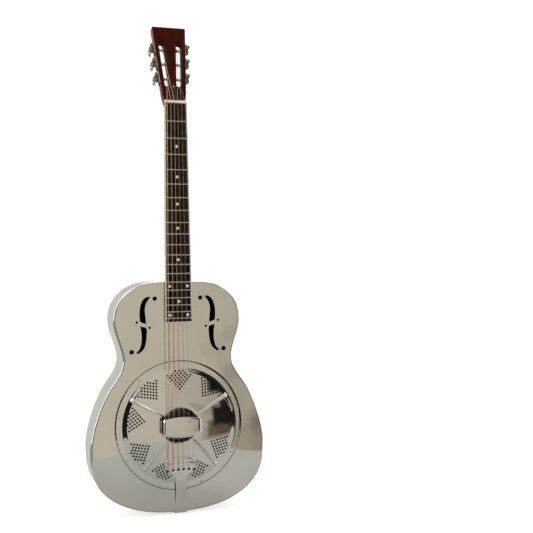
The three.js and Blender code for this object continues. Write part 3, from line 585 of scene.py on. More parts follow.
# ---------------------------------------------------------------- body
def stretch(start, end, count):
    """Points at equal distances along the stretch of an outline between two knots."""
    (x0, z0, h0, out, into), (x1, z1, h1, _, _) = start, end
    leave, arrive = math.radians(h0), math.radians(h1)
    a, b = Vector((x0, z0)), Vector((x1, z1))
    handle = a + Vector((math.cos(leave), math.sin(leave))) * out
    return evenly(bezier(a, handle, b - Vector((math.cos(arrive), math.sin(arrive))) * into, b, 96), count)


def evenly(points, count):
    """Points at equal distances along an open curve, both ends kept."""
    lengths = [0.0]
    for a, b in zip(points, points[1:]):
        lengths.append(lengths[-1] + (b - a).length)
    made, at = [], 0
    for k in range(count + 1):
        target = lengths[-1] * k / count
        while at < len(points) - 2 and lengths[at + 1] < target:
            at += 1
        share = (target - lengths[at]) / max(1e-9, lengths[at + 1] - lengths[at])
        made.append(points[at].lerp(points[at + 1], clamp(share)))
    return made


def loop_of(knots):
    """The closed loop of a right half given by its knots. Loops of different knots match point for point."""
    right = []
    for start, end, count in zip(knots, knots[1:], STRETCH_STEPS):
        right += stretch(start, end, count)[1 if right else 0:]
    left = [Vector((-p.x, p.y)) for p in reversed(right[1:-1])]
    return right + left


def inset(loop, distance):
    made = []
    for i, p in enumerate(loop):
        along = (loop[(i + 1) % len(loop)] - loop[i - 1]).normalized()
        made.append(Vector((p.x + along.y * distance, p.y - along.x * distance)))
    return made


def at_depth(loop, y):
    return [Vector((p.x, y, p.y)) for p in loop]


def sound_hole_loops(side):
    loops = []
    for outer, inner in ((HOLE_HIGH_OUTER, HOLE_HIGH_INNER), (HOLE_LOW_INNER, HOLE_LOW_OUTER)):
        loops.append(through(outer, 5)[:-1] + through(inner, 5)[:-1])
    loops = [[(side * p.x, p.y) for p in loop] for loop in loops]
    for x, z, radius in HOLE_DOTS:
        loops.append(circle(side * x, z, radius, 32))
    return loops


def two_tone(piece, second, is_inside):
    """Gives some of a piece's faces a second material."""
    piece.data.materials.append(second)
    for face in piece.data.polygons:
        if is_inside(face):
            face.material_index = 1


def body_top(loop):
    edge = inset(loop, EDGE_RADIUS + 0.1)
    holes = [circle(0, CONE_Z, WELL_RADIUS, 160)] + sound_hole_loops(1) + sound_hole_loops(-1)
    top = plate_mesh("body_top", [[tuple(p) for p in edge]] + holes, 0, SHEET, bevel=0.12, bevel_steps=2)
    piece = dress(new_object("body_top", top), NICKEL, replaced=["top_plate"])
    # The plate's back faces, inside the body, take painted shade.
    two_tone(piece, PAINTED_SHADE, lambda face: face.normal.y > 0.5)


def body_sides(loop):
    """The rim: a sheet that rolls over to the top plate in front and tucks under the back."""
    stations = [(EDGE_RADIUS * s, EDGE_RADIUS * c) for c, s in quarter(8)]
    stations += [(0, 6), (0, 40), (0, BODY_DEPTH - 6), (0, BODY_DEPTH - 2.2)]
    stations += [(0.5, BODY_DEPTH - BACK_SHEET), (1.2, BODY_DEPTH - BACK_SHEET)]
    outside = [at_depth(inset(loop, d), y) for d, y in stations]
    inside = [at_depth(inset(loop, RIM_SHEET), y) for y in (BODY_DEPTH - 3, 40, EDGE_RADIUS + 0.6)]
    inside.append(at_depth(inset(loop, EDGE_RADIUS + 0.02), EDGE_RADIUS))
    count = len(loop)
    points, faces = loft(outside + inside, closed_ends=False)
    last = (len(outside) + len(inside) - 1) * count
    faces += [(k, (k + 1) % count, last + (k + 1) % count, last + k) for k in range(count)]
    piece = add("body_sides", (points, faces), NICKEL, "plated_metal", replaced=["side_rim"], sharp=50)

    def faces_inwards(face):
        return face.normal.dot(Vector((face.center.x, 0, face.center.z)) - BODY_MIDDLE) < 0

    # The rim's inward faces take painted shade.
    two_tone(piece, PAINTED_SHADE, faces_inwards)


def back_rings(loop):
    """From the rim inwards: a rounded edge, a flat band, a slope, then the raised middle."""
    rings = [at_depth(inset(loop, d), y) for d, y in ((1.3, BODY_DEPTH - 1.6), (0.6, BODY_DEPTH - 1.55))]
    for c, s in quarter(6):
        rings.append(at_depth(inset(loop, BACK_EDGE * c), BODY_DEPTH - BACK_EDGE * s))
    for distance in (3, 8, 14, BACK_BAND - 2.5):
        rings.append(at_depth(inset(loop, distance), BODY_DEPTH))
    foot = inset(loop, BACK_BAND)
    middle = loop_of(RAISED_MIDDLE)
    steps = 32
    for k in range(steps + 1):
        share = k / steps
        steep = 0.75 * (1 - (1 - share) ** 2) + 0.25 * share
        fillet = 0.35 * math.exp(-((share / 0.07) ** 2))
        crease = 0.3 * math.exp(-(((1 - share) / 0.05) ** 2))
        rise = BACK_RISE * steep + fillet + crease
        rings.append(at_depth([a.lerp(b, share) for a, b in zip(foot, middle)], BODY_DEPTH + rise))
    spine = [Vector((0, clamp(p.y, -700, -470))) for p in middle]
    for k in range(1, 15):
        share = k / 15
        ring = [p.lerp(s, share) for p, s in zip(middle, spine)]
        rings.append(at_depth(ring, BODY_DEPTH + BACK_RISE + 0.5 * (1 - (1 - share) ** 2)))
    return rings


def body_shell():
    loop = loop_of(OUTLINE)
    body_top(loop)
    body_sides(loop)
    shape = loft(back_rings(loop))
    piece = add("body_back", shape, NICKEL, "plated_metal", replaced=["back_plate"], sharp=50)
    # The back's inward faces take painted shade.
    two_tone(piece, PAINTED_SHADE, lambda face: face.normal.y < -0.5)


# ---------------------------------------------------------------- cone and coverplate
def cone_parts():
    shelf = [(WELL_RADIUS + 8, 2.4), (WELL_RADIUS + 8, 3.2), (WELL_RADIUS + 1, 3.2),
             (WELL_RADIUS + 1, WELL_SHELF_Y + 1), (110, WELL_SHELF_Y + 1), (110, WELL_SHELF_Y),
             (WELL_RADIUS, WELL_SHELF_Y), (WELL_RADIUS, 2.4)]
    # The well is painted shade all over, as it sits inside the body.
    add("cone_well_pressing", spun(shelf, 128), PAINTED_SHADE, "plated_metal", replaced=["cone_well"])
    profile = [(2.2, CONE_TOP_Y), (CONE_TOP_RADIUS, CONE_TOP_Y)]
    rim_y = WELL_SHELF_Y - 0.9
    for k in range(1, 25):
        share = k / 24
        radius = mix(CONE_TOP_RADIUS, CONE_RADIUS - 6, share)
        ridge = 0.35 * math.sin(share * 24 * math.pi / 2) ** 2
        profile.append((radius, mix(CONE_TOP_Y, rim_y, share) - ridge * (k < 24)))
    profile += [(CONE_RADIUS, rim_y)]
    back = [(r, y + 0.5) for r, y in reversed(profile)]
    # The cone's aluminium is darkened as painted shade.
    add("spun_cone", spun(profile + back, 128), ALUMINIUM_DARKENED_FOR_SHADE, "spun_aluminium", replaced=["resonator_cone"])

    back_y = CONE_TOP_Y - 0.3
    front_y = back_y - BISCUIT_THICK
    disc = [(0.2, front_y), (BISCUIT_RADIUS - 0.8, front_y), (BISCUIT_RADIUS, front_y + 0.8),
            (BISCUIT_RADIUS, back_y - 0.5), (BISCUIT_RADIUS - 0.5, back_y), (0.2, back_y)]
    # The biscuit and the saddle are maple darkened as painted shade.
    add("maple_biscuit", spun(disc, 96), MAPLE_DARKENED_FOR_SHADE, "maple", replaced=["biscuit"])
    half = SADDLE_LENGTH / 2
    rings = []
    for k in range(21):
        x = mix(-half, half, k / 20)
        crown = SADDLE_TOP_Y + 1.0 - 1.0 * (1 - (x / half) ** 2)
        low, high = CONE_Z - SADDLE_THICK / 2, CONE_Z + SADDLE_THICK / 2
        section = ((front_y - 0.2, low), (crown + 0.8, low), (crown, low + 0.9),
                   (crown, high - 0.9), (crown + 0.8, high), (front_y - 0.2, high))
        rings.append([Vector((x, y, z)) for y, z in section])
    add("maple_saddle", loft(rings), MAPLE_DARKENED_FOR_SHADE, "maple", replaced=["saddle"])
    screw = rod((0, back_y + 1, CONE_Z), (0, CONE_TOP_Y + 3.2, CONE_Z), 3.6, 32, 0.5)
    add("biscuit_screw_head", screw, STEEL, "steel", replaced=["biscuit_screw"])


def rib_height(x, z):
    """Height of the four pressed ribs at a place on the coverplate, seen from its centre."""
    total = 0.0
    for degrees in RIB_ANGLES:
        angle = math.radians(degrees)
        along = x * math.sin(angle) + z * math.cos(angle)
        across = abs(x * math.cos(angle) - z * math.sin(angle))
        if along <= 0:
            continue
        out = clamp((along - 40) / 70)
        width = mix(*RIB_WIDTHS, out)
        tall = mix(*RIB_HEIGHTS, out) * smoothstep(35, 46, along) * (1 - smoothstep(110, 114.5, along))
        total += tall * (1 - smoothstep(0, 1, clamp(across / width))) if across < width else 0
    return total


def cover_height(x, z):
    """The y of the coverplate's front face: a dish that steepens to a rounded shoulder, then a flat ring."""
    radius = math.hypot(x, z)
    out = clamp((radius - 44) / (COVER_DISH_RADIUS - 44))
    dish = mix(COVER_CENTRE_Y, COVER_DISH_Y, 0.35 * out + 0.65 * out * out)
    across = clamp((radius - COVER_DISH_RADIUS) / (COVER_STEP_RADIUS - COVER_DISH_RADIUS))
    slope = (COVER_DISH_Y - COVER_CENTRE_Y) * 1.65 / (COVER_DISH_RADIUS - 44)
    run = COVER_STEP_RADIUS - COVER_DISH_RADIUS
    rise = COVER_RING_Y - COVER_DISH_Y
    # A cubic that leaves with the dish's own slope and meets the ring level.
    step = slope * run * (across - 2 * across**2 + across**3) + rise * (3 * across**2 - 2 * across**3)
    lip = smoothstep(COVER_OPENING + 2.6, COVER_OPENING, radius)
    edge = smoothstep(COVER_RADIUS - 2.2, COVER_RADIUS - COVER_SHADED_EDGE, radius)
    return dish + step + 1.2 * lip + 0.6 * edge - rib_height(x, z) * (1 - lip)


def polar(angle, along, across):
    """The place on the coverplate at a distance out along an angle from its top, and one across it."""
    s, c = math.sin(angle), math.cos(angle)
    return (along * s + across * c, along * c - across * s)


def patch_holes():
    """Centres of the holes: nine kites, each a lattice along the kite's two inner edges."""
    across, along = PATCH_STEP
    centres = []
    for degrees in PATCH_ANGLES:
        angle = math.radians(degrees)
        for a in range(7):
            for b in range(7):
                if a + b > 9.2 - 0.5 * abs(a - b):
                    continue
                t = (a - b) * across
                r = PATCH_INNER + (a + b) * along
                centres.append(polar(angle, r, t))
    return centres


def near_hole_test(holes):
    """A test of whether a place lies within some reach of any hole's centre."""
    cell = 8
    cells = {}
    for x, z in holes:
        cells.setdefault((round(x / cell), round(z / cell)), []).append((x, z))

    def near_hole(p, reach):
        i, j = round(p[0] / cell), round(p[1] / cell)
        near = [c for a in (-1, 0, 1) for b in (-1, 0, 1) for c in cells.get((i + a, j + b), [])]
        return any(math.hypot(p[0] - x, p[1] - z) < reach for x, z in near)

    return near_hole


def cover_rings(holes):
    """The closed rings that the coverplate's mesh must follow: its edge, its opening and its holes."""
    coords, edges = [], []
    rings = [circle(0, 0, COVER_RADIUS, COVER_EDGE_STEPS), circle(0, 0, COVER_OPENING, COVER_OPENING_STEPS)]
    rings += [circle(x, z, PATCH_HOLE, PATCH_HOLE_STEPS) for x, z in holes]
    for points in rings:
        base = len(coords)
        coords.extend(Vector(p) for p in points)
        edges.extend((base + k, base + (k + 1) % len(points)) for k in range(len(points)))
    return coords, edges


def cover_grid():
    """Places that carry the coverplate's shape: rings, closer at the shoulder, and rows along the ribs."""
    radii = [34.8, 35.8, 37.2, 40, 43, 46]
    radii += [46 + 2.4 * k for k in range(1, 25)]
    radii += [105, 106.2] + [107 + 0.85 * k for k in range(13)]
    radii += [119, 122, 125, 127.5, 128.1, 128.7, COVER_RADIUS - COVER_SHADED_EDGE]
    grid = []
    for i, radius in enumerate(radii):
        count = max(96, int(radius * 2 * math.pi / 2.6))
        for k in range(count):
            angle = 2 * math.pi * (k + 0.5 * (i % 2)) / count
            grid.append(Vector((radius * math.cos(angle), radius * math.sin(angle))))
    rows = (-4.4, -3.6, -2.9, -2.2, -1.5, -0.8, 0, 0.8, 1.5, 2.2, 2.9, 3.6, 4.4)
    for degrees in RIB_ANGLES:
        grid += [Vector(polar(math.radians(degrees), 37 + i, across)) for i in range(80) for across in rows]
    return grid


def cover_mesh():
    holes = patch_holes()
    near_hole = near_hole_test(holes)
    coords, edges = cover_rings(holes)
    for p in cover_grid():
        if p.length < COVER_RADIUS - 0.3 and not near_hole(p, PATCH_HOLE + 0.35):
            coords.append(p)
    verts, _, faces, *_ = delaunay_2d_cdt(coords, edges, [], 0, 0.01)
    shown = []
    for face in faces:
        middle = sum((verts[i] for i in face), Vector((0, 0))) / len(face)
        if COVER_OPENING - 0.05 < middle.length < COVER_RADIUS and not near_hole(middle, PATCH_HOLE * 0.95):
            shown.append(tuple(face))
    front = [Vector((v.x, cover_height(v.x, v.y), CONE_Z + v.y)) for v in verts]
    return mesh_of("pierced_coverplate", front, shown, sharp=50)


def face_forwards(mesh):
    """Turns an open sheet so that its faces look to the front."""
    if sum(face.normal.y for face in mesh.polygons) > 0:
        mesh.flip_normals()


def thicken(piece, thickness, rim_material=0):
    """Gives an open sheet its thickness towards the back."""
    solidify = piece.modifiers.new("sheet", "SOLIDIFY")
    solidify.thickness = thickness * MM
    solidify.offset = -1
    solidify.material_offset = rim_material
    solidify.material_offset_rim = rim_material
    apply_modifiers(piece)
    piece.data.shade_smooth()
    piece.data.set_sharp_from_angle(angle=math.radians(50))


def coverplate():
    piece = new_object("pierced_coverplate", cover_mesh())
    face_forwards(piece.data)
    piece.data.materials.append(NICKEL)
    # Second material: painted shade on the sheet's cut rim and on its outermost ring, a dark line where the
    # plate meets the body.
    piece.data.materials.append(PAINTED_SHADE)
    thicken(piece, SHEET, rim_material=1)
    for face in piece.data.polygons:
        if math.hypot(face.center.x / MM, face.center.z / MM - CONE_Z) > COVER_RADIUS - COVER_SHADED_EDGE:
            face.material_index = 1
    place_piece(piece, replaced=["coverplate"])

    for i, degrees in enumerate(PATCH_ANGLES):
        x, z = polar(math.radians(degrees), COVER_SCREW_RADIUS, 0)
        head = slotted_screw((x, COVER_RING_Y - 0.1, CONE_Z + z), 2.3, degrees * 3 + 20)
        add(f"cover_screw_{i + 1}", head, STEEL, "steel")


def apply_modifiers(piece):
    graph = bpy.context.evaluated_depsgraph_get()
    graph.update()
    mesh = bpy.data.meshes.new_from_object(piece.evaluated_get(graph))
    piece.modifiers.clear()
    old = piece.data
    piece.data = mesh
    bpy.data.meshes.remove(old)


def slotted_screw(place, radius, turn):
    """A small domed screw head facing forwards, with a slot across it."""
    rings = []
    steps = 24
    for r, h in [(1.0, 0.0), (1.0, 0.25), (0.85, 0.6), (0.55, 0.85), (0.2, 0.95)]:
        ring = []
        for c, s in turns(steps):
            x, z = c * r, s * r
            deep = 0.45 if abs(z) < 0.17 and h > 0.3 else 0.0
            ring.append(Vector((x * radius, -(h - deep) * radius * 0.5, z * radius)))
        rings.append(ring)
    turn = Matrix.Rotation(math.radians(turn), 4, "Y")
    return moved(loft(rings), Matrix.Translation(place) @ turn)


def hand_rest():
    """The bridge over the saddle: a sheet bent down to a foot at each end, its long edges bowed."""
    half = REST_HALF_WIDTH
    foot = COVER_CENTRE_Y + 0.2
    section = [(-half - 3.2, foot), (-half - 1.2, foot), (-half, foot - 1.4)]
    section += [(-half, mix(foot - 1.4, REST_TOP_Y + 5, k / 4)) for k in range(1, 5)]
    section += [(-half + 5 * c, REST_TOP_Y + 5 * s) for c, s in quarter(8, first=1)]
    for k in range(1, 9):
        section.append((mix(-half + 5, 0, k / 8), REST_TOP_Y - 0.6 * math.sin(k / 8 * math.pi / 2)))
    section += [(-x, y) for x, y in reversed(section[:-1])]
    rows = []
    for x, y in section:
        share = clamp(abs(x) / half)
        reach = REST_HEIGHT / 2 - 4.5 * share * share
        height = clamp((foot - y) / 8)
        reach *= mix(0.8, 1.0, height)
        row = []
        for k in range(15):
            v = mix(-1, 1, k / 14)
            roll = 1.3 * abs(v) ** 10 + 0.3 * v * v
            row.append(Vector((x * (1 - 0.02 * abs(v) ** 8), y + roll, CONE_Z + v * reach)))
        rows.append(row)
    points = [p for row in rows for p in row]
    faces = [(i * 15 + k, i * 15 + k + 1, (i + 1) * 15 + k + 1, (i + 1) * 15 + k)
             for i in range(len(rows) - 1) for k in range(14)]
    piece = new_object("palm_rest", mesh_of("palm_rest", points, faces, 60))
    face_forwards(piece.data)
    thicken(piece, REST_SHEET)
    dress(piece, NICKEL, replaced=["hand_rest"])


# ---------------------------------------------------------------- neck
def board_half(z):
    return mix(NUT_HALF, BOARD_END_HALF, z / BOARD_END_Z)


def neck_ring(z, steps=24):
    half = board_half(min(z, 0))
    back = mix(NECK_BACK_AT_NUT, NECK_BACK_AT_HEEL, z / BODY_TOP_Z)
    heel_end = BODY_TOP_Z + HEEL_CAP_HEIGHT
    heel = smoothstep(0, 1, (HEEL_START_Z - z) / (HEEL_START_Z - heel_end))
    cap = math.sqrt(max(0.0, (heel_end - z) / HEEL_CAP_HEIGHT))
    ring = []
    for k in range(-steps, steps + 1):
        t = 1 - abs(k) / steps
        angle = t * math.pi / 2
        shaft_x = half * max(0.0, math.cos(angle)) ** 0.8
        shaft_y = NECK_TOP_Y + (back - NECK_TOP_Y) * math.sin(angle) ** 0.85
        cap_half = HEEL_CAP_HALF * min(1.0, cap)
        fall = min(1.0, t / 0.75)
        heel_x = mix(half, cap_half, fall**0.6) if t < 0.75 else cap_half * (1 - t) * 4
        heel_y = mix(NECK_TOP_Y, HEEL_DEPTH_Y, fall**1.1)
        side = -1 if k > 0 else 1
        ring.append(Vector((side * mix(shaft_x, heel_x, heel), mix(shaft_y, heel_y, heel), z)))
    return ring


def head_matrix():
    return Matrix.Translation(HEAD_ORIGIN) @ Matrix.Rotation(-HEAD_TILT, 4, "X")


def head_half(u):
    return mix(HEAD_FLARE_HALF, HEAD_TOP_HALF, (u - HEAD_FLARE_U) / (HEAD_LENGTH - HEAD_FLARE_U))


def slot_centre(u):
    return mix(SLOT_CENTRE_LOW, SLOT_CENTRE_HIGH, (u - SLOT_FROM) / (SLOT_TO - SLOT_FROM))


def slot_loop(side):
    points = []
    for u, start in ((SLOT_FROM + SLOT_HALF, math.pi), (SLOT_TO - SLOT_HALF, 0)):
        for k in range(17):
            angle = start + k / 16 * math.pi
            across = slot_centre(u) + SLOT_HALF * math.cos(angle)
            points.append((side * across, u + SLOT_HALF * math.sin(angle)))
    return points


def head_outline():
    a, b = Vector((NUT_HALF, -2)), Vector((HEAD_FLARE_HALF, HEAD_FLARE_U))
    flare = bezier(a, Vector((NUT_HALF, 6)), Vector((HEAD_FLARE_HALF - 1.2, 8)), b, 12)
    corner = 1.6
    right = [tuple(p) for p in flare]
    right += [(HEAD_TOP_HALF - 0.1, HEAD_LENGTH - corner), (HEAD_TOP_HALF - 0.5, HEAD_LENGTH - 0.5),
              (HEAD_TOP_HALF - corner, HEAD_LENGTH)]
    return right + [(-x, u) for x, u in reversed(right)]


def cut(piece, shape):
    """Cuts a closed shape out of a piece."""
    tool = new_object("cutter", mesh_of("cutter", *shape))
    boolean = piece.modifiers.new("cut", "BOOLEAN")
    boolean.operation = "DIFFERENCE"
    boolean.solver = "EXACT"
    boolean.object = tool
    apply_modifiers(piece)
    bpy.data.objects.remove(tool)


def onto_head(mesh):
    """Moves a mesh made in the headstock's own axes, in metres, to its place."""
    mesh.transform(Matrix.Scale(1 / MM, 4))
    mesh.transform(head_matrix())
    mesh.transform(Matrix.Scale(MM, 4))


def headstock():
    loops = [head_outline(), slot_loop(1), slot_loop(-1)]
    mesh = plate_mesh("headstock", loops, 0, HEAD_THICK, bevel=0.9, bevel_steps=3)
    piece = new_object("headstock", mesh)
    for side in (1, -1):
        for end, inward in ((SLOT_FROM, 1), (SLOT_TO, -1)):
            centre = side * slot_centre(end)
            half = SLOT_HALF - 0.1
            rings = []
            for k in range(17):
                # A half-round ramp: its floor slopes from the face down into the slot.
                angle = math.pi * k / 16
                width = half * math.cos(angle)
                sag = 1 - math.sin(angle)
                reach = 13 - 9 * sag * sag
                rings.append([Vector((centre + width, -1.5, end - reach * inward)),
                              Vector((centre + width, 7.5, end + 6.5 * inward)),
                              Vector((centre + width, -1.5, end + 6.5 * inward))])
            cut(piece, loft(rings))
    mesh = piece.data
    onto_head(mesh)
    mesh.shade_smooth()
    mesh.set_sharp_from_angle(angle=math.radians(30))
    return piece


def neck_to_head():
    """Rings where the shaft's back turns up into the head's back, from the shaft's end upwards."""
    head = head_matrix()
    rings = []
    for k in range(1, 9):
        ease = smoothstep(0, 1, k / 8)
        ring = []
        for p in neck_ring(NECK_TURN_Z):
            width = p.x / NUT_HALF
            depth = (p.y - NECK_TOP_Y) / (NECK_BACK_AT_NUT - NECK_TOP_Y)
            square = math.copysign(min(1.0, abs(width) ** 0.55), width)
            target = head @ Vector((square * (HEAD_FLARE_HALF - 2.6), mix(0.8, HEAD_THICK - 0.9, depth), 9))
            blended = p.lerp(target, ease)
            blended.x = mix(p.x, target.x, ease**3)
            ring.append(blended)
        rings.append(ring)
    return rings


def box(half, front, back, low, high):
    """A plain block; half its width may be given at each end."""
    rings = []
    for z, wide in zip((low, high), half):
        corners = ((-wide, front), (wide, front), (wide, back), (-wide, back))
        rings.append([Vector((x, y, z)) for x, y in corners])
    return loft(rings)


def neck():
    heel_end = BODY_TOP_Z + HEEL_CAP_HEIGHT
    stations = [NECK_TURN_Z, -30, -80, -140, -200, -260, HEEL_START_Z]
    stations += [mix(HEEL_START_Z, heel_end, k / 16) for k in range(1, 17)]
    stations += [mix(heel_end, BODY_TOP_Z + 0.3, (k / 12) ** 2) for k in range(1, 13)]
    rings = neck_to_head()[::-1] + [neck_ring(z) for z in stations]
    add("neck_wood", loft(rings), MAHOGANY, "mahogany", replaced=["neck"], sharp=32)

    low, high = BOARD_END_Z + 3, BODY_TOP_Z + 20
    tongue = box((board_half(low) - 1, board_half(high) - 1), NECK_TOP_Y, -0.3, low, high)
    add("neck_tongue", tongue, MAHOGANY, "mahogany")
    seat = box((NUT_HALF, NUT_HALF), NECK_TOP_Y, 2, -9, NUT_LENGTH + 0.2)
    add("nut_seat", seat, MAHOGANY, "mahogany")

    head = dress(headstock(), MAHOGANY)
    facing = Vector((0, -math.cos(HEAD_TILT), math.sin(HEAD_TILT)))
    back_to_head = head_matrix().inverted()

    def veneer_or_slot_shade(face):
        """The veneered face, and the walls of the two slots, which take the veneer's colour as painted shade.
        """
        across, _, up = back_to_head @ (face.center / MM)
        in_slots = SLOT_FROM - 16 < up < SLOT_TO + 16 and abs(across) < head_half(up) - 3
        return face.normal.dot(facing) > 0.6 or (in_slots and face.normal.dot(facing) > -0.9)

    two_tone(head, VENEER_AND_SLOT_SHADE, veneer_or_slot_shade)


def fretboard():
    top, bottom = BOARD_TOP_Y, NECK_TOP_Y - 0.3
    front, end = -0.3, BOARD_END_Z
    inner = BINDING + 0.02
    core = [(-board_half(0) + inner, front), (board_half(0) - inner, front),
            (board_half(end) - inner, end + inner), (-board_half(end) + inner, end + inner)]
    board = plate_mesh("rosewood_board", [core], top, bottom, bevel=0.05, bevel_steps=1)
    dress(new_object("rosewood_board", board), ROSEWOOD, replaced=["fretboard"])
    edge = [(-board_half(0), front), (-board_half(end), end), (board_half(end), end), (board_half(0), front),
            (board_half(0) - BINDING, front), (board_half(end) - BINDING, end + BINDING),
            (-board_half(end) + BINDING, end + BINDING), (-board_half(0) + BINDING, front)]
    binding = plate_mesh("cream_edge", [edge], top - 0.02, bottom, bevel=0.25, bevel_steps=2)
    dress(new_object("cream_edge", binding), CREAM, replaced=["board_binding"])

    for n in range(1, 20):
        z = -SCALE * (1 - 2 ** (-n / 12))
        half = board_half(z) - 0.5
        section = []
        for k in range(9):
            angle = math.pi * k / 8
            section.append((1.25 * math.cos(angle), -1.05 * math.sin(angle)))
        rings = []
        for x in (-half, -half + 1.2, 0, half - 1.2, half):
            tall = 0.35 if abs(abs(x) - half) < 0.01 else 1.0
            rings.append([Vector((x, BOARD_TOP_Y + y * tall, z + s)) for s, y in section])
        add(f"fret_{n}", loft(rings), STEEL, "steel")

    dots = [(n, 0) for n in (3, 5, 7, 9, 12, 17)] + [(n, x) for n in (15, 19) for x in (-18, 18)]
    for i, (n, x) in enumerate(dots):
        low, high = (-SCALE * (1 - 2 ** (-m / 12)) for m in (n - 1, n))
        place = Vector((x, BOARD_TOP_Y + 0.6, (low + high) / 2))
        disc = rod(place, place + Vector((0, -0.66, 0)), 3.0, 32, 0.06)
        add(f"pearl_dot_{i + 1}", disc, PEARL, "bone")


def nut_piece():
    bottom = NECK_TOP_Y - 0.3
    rings = []
    for k in range(61):
        x = mix(-NUT_HALF, NUT_HALF, k / 60)
        notch = max((0.45 for i in range(6) if abs(x - STRING_AT_NUT * (i - 2.5)) < 0.8), default=0)
        top = NUT_TOP_Y + notch
        section = ((bottom, 0), (top + 0.5, 0), (top, 0.5), (top + 0.15, 3), (top + 1.8, 5.7),
                   (top + 2.4, NUT_LENGTH), (bottom, NUT_LENGTH))
        rings.append([Vector((x, y, z)) for y, z in section])
    add("bone_nut", loft(rings), BONE, "bone", replaced=["nut"], sharp=40)


def truss_cover():
    right = bezier(Vector((6.5, 2)), Vector((6, 16)), Vector((3.5, 22)), Vector((3.2, 33)), 14)
    top = bezier(Vector((3.2, 33)), Vector((2.4, 36.4)), Vector((-2.4, 36.4)), Vector((-3.2, 33)), 8)
    loop = [tuple(p) for p in right + top[1:]] + [(-p.x, p.y) for p in reversed(right[:-1])]
    mesh = plate_mesh("rod_cover", [loop], -1.9, -0.3, bevel=0.4, bevel_steps=3)
    onto_head(mesh)
    dress(new_object("rod_cover", mesh), BLACK, replaced=["truss_rod_cover"])
    screw = moved(slotted_screw((0, -1.9, 31.4), 1.7, 30), head_matrix())
    add("rod_cover_screw", screw, STEEL, "steel")


# ---------------------------------------------------------------- tuners
def tuner_matrix(side, u):
    slope = math.atan((HEAD_TOP_HALF - HEAD_FLARE_HALF) / (HEAD_LENGTH - HEAD_FLARE_U))
    place = Matrix.Translation((side * head_half(u), HEAD_THICK / 2, u))
    return head_matrix() @ place @ Matrix.Rotation(side * slope, 4, "Y")


TUNERS = [(-1, u) for u in ROLLER_U] + [(1, u) for u in reversed(ROLLER_U)]


def roller_length(u):
    return head_half(u) - slot_centre(u) + SLOT_HALF + 3.5


def mirrored(shape, side):
    points, faces = shape
    return [Vector((side * p[0], p[1], p[2])) for p in points], faces


def bracket(side):
    """The base plate with its two ears, which carry the worm, and its two screws."""
    outline = []
    for x, z, start in ((6.5, -9.5, -90), (6.5, 13.5, 0), (-6.5, 13.5, 90), (-6.5, -9.5, 180)):
        for k in range(7):
            angle = math.radians(start + 90 * k / 6)
            outline.append((x + 1.5 * math.cos(angle), z + 1.5 * math.sin(angle)))
    rings = [[Vector((x, y * s, z)) for y, z in outline] for x, s in ((0.0, 1.0), (1.1, 1.0), (1.5, 0.97))]
    shapes = [loft(rings)]
    ear = [(1.2, WORM_UP - 4.2), (TUNER_OUT, WORM_UP - 4)]
    for k in range(1, 17):
        angle = math.pi * k / 16
        ear.append((TUNER_OUT + 4 * math.sin(angle), WORM_UP - 4 * math.cos(angle)))
    ear.append((1.2, WORM_UP + 4.2))
    for y in (-EAR_Y - PLATE_THICK, EAR_Y):
        shapes.append(loft([[Vector((x, y + d, z)) for x, z in ear] for d in (0, PLATE_THICK)]))
    for z in (-7.6, 12.2):
        rings = []
        for x, share in ((1.4, 1.0), (1.9, 0.95), (2.3, 0.6), (2.4, 0.2)):
            rings.append([Vector((x, a, b)) for a, b in circle(0, z, 1.9 * share, 20)])
        shapes.append(loft(rings))
    return mirrored(joined(*shapes), side)


def worm():
    """Shaft, collar and thread, about the y axis."""
    shapes = [rod((0, -9.5, 0), (0, 19.5, 0), SHAFT_RADIUS, 24, 0.3), rod((0, -6.2, 0), (0, 6.2, 0), 1.7, 24),
              rod((0, 8.1, 0), (0, 10.4, 0), 2.7, 32, 0.35), rod((0, 15.5, 0), (0, 18.8, 0), 2.5, 32, 0.5)]
    pitch = math.pi * GEAR_MODULE
    per_turn = 28
    rings = []
    steps = round(8.6 / pitch * per_turn)
    for k in range(-steps // 2, steps // 2 + 1):
        angle = 2 * math.pi * k / per_turn
        fade = clamp((steps / 2 - abs(k)) / 8, 0.05)
        tip = mix(1.6, WORM_PITCH_RADIUS + 0.7, fade)
        ring = [(1.4, -0.6), (tip - 0.1, -0.28), (tip, -0.15), (tip, 0.15), (tip - 0.1, 0.28), (1.4, 0.6)]
        along = k / per_turn * pitch
        rings.append([Vector((-r * math.sin(angle), y + along, -r * math.cos(angle))) for r, y in ring])
    shapes.append(loft(rings))
    return joined(*shapes)


def button():
    """A flat kidney-shaped button, rounded all over."""
    rings = []
    for i in range(13):
        v = mix(-1, 1, i / 12)
        x = 2.9 * math.sin(v * math.pi / 2)
        scale = max(0.04, math.cos(v * math.pi / 2)) ** 0.45
        ring = []
        for c, s in turns(40):
            waist = 1 - 0.24 * math.exp(-((c / 0.45) ** 2)) * max(0.0, s)
            y = BUTTON_CENTRE + BUTTON_HALF_LENGTH * s * waist * scale
            ring.append(Vector((x, y, BUTTON_HALF_WIDTH * c * scale)))
        rings.append(ring)
    return joined(loft(rings), rod((0, 15.8, 0), (0, 19.5, 0), 2.2, 24, 0.3))


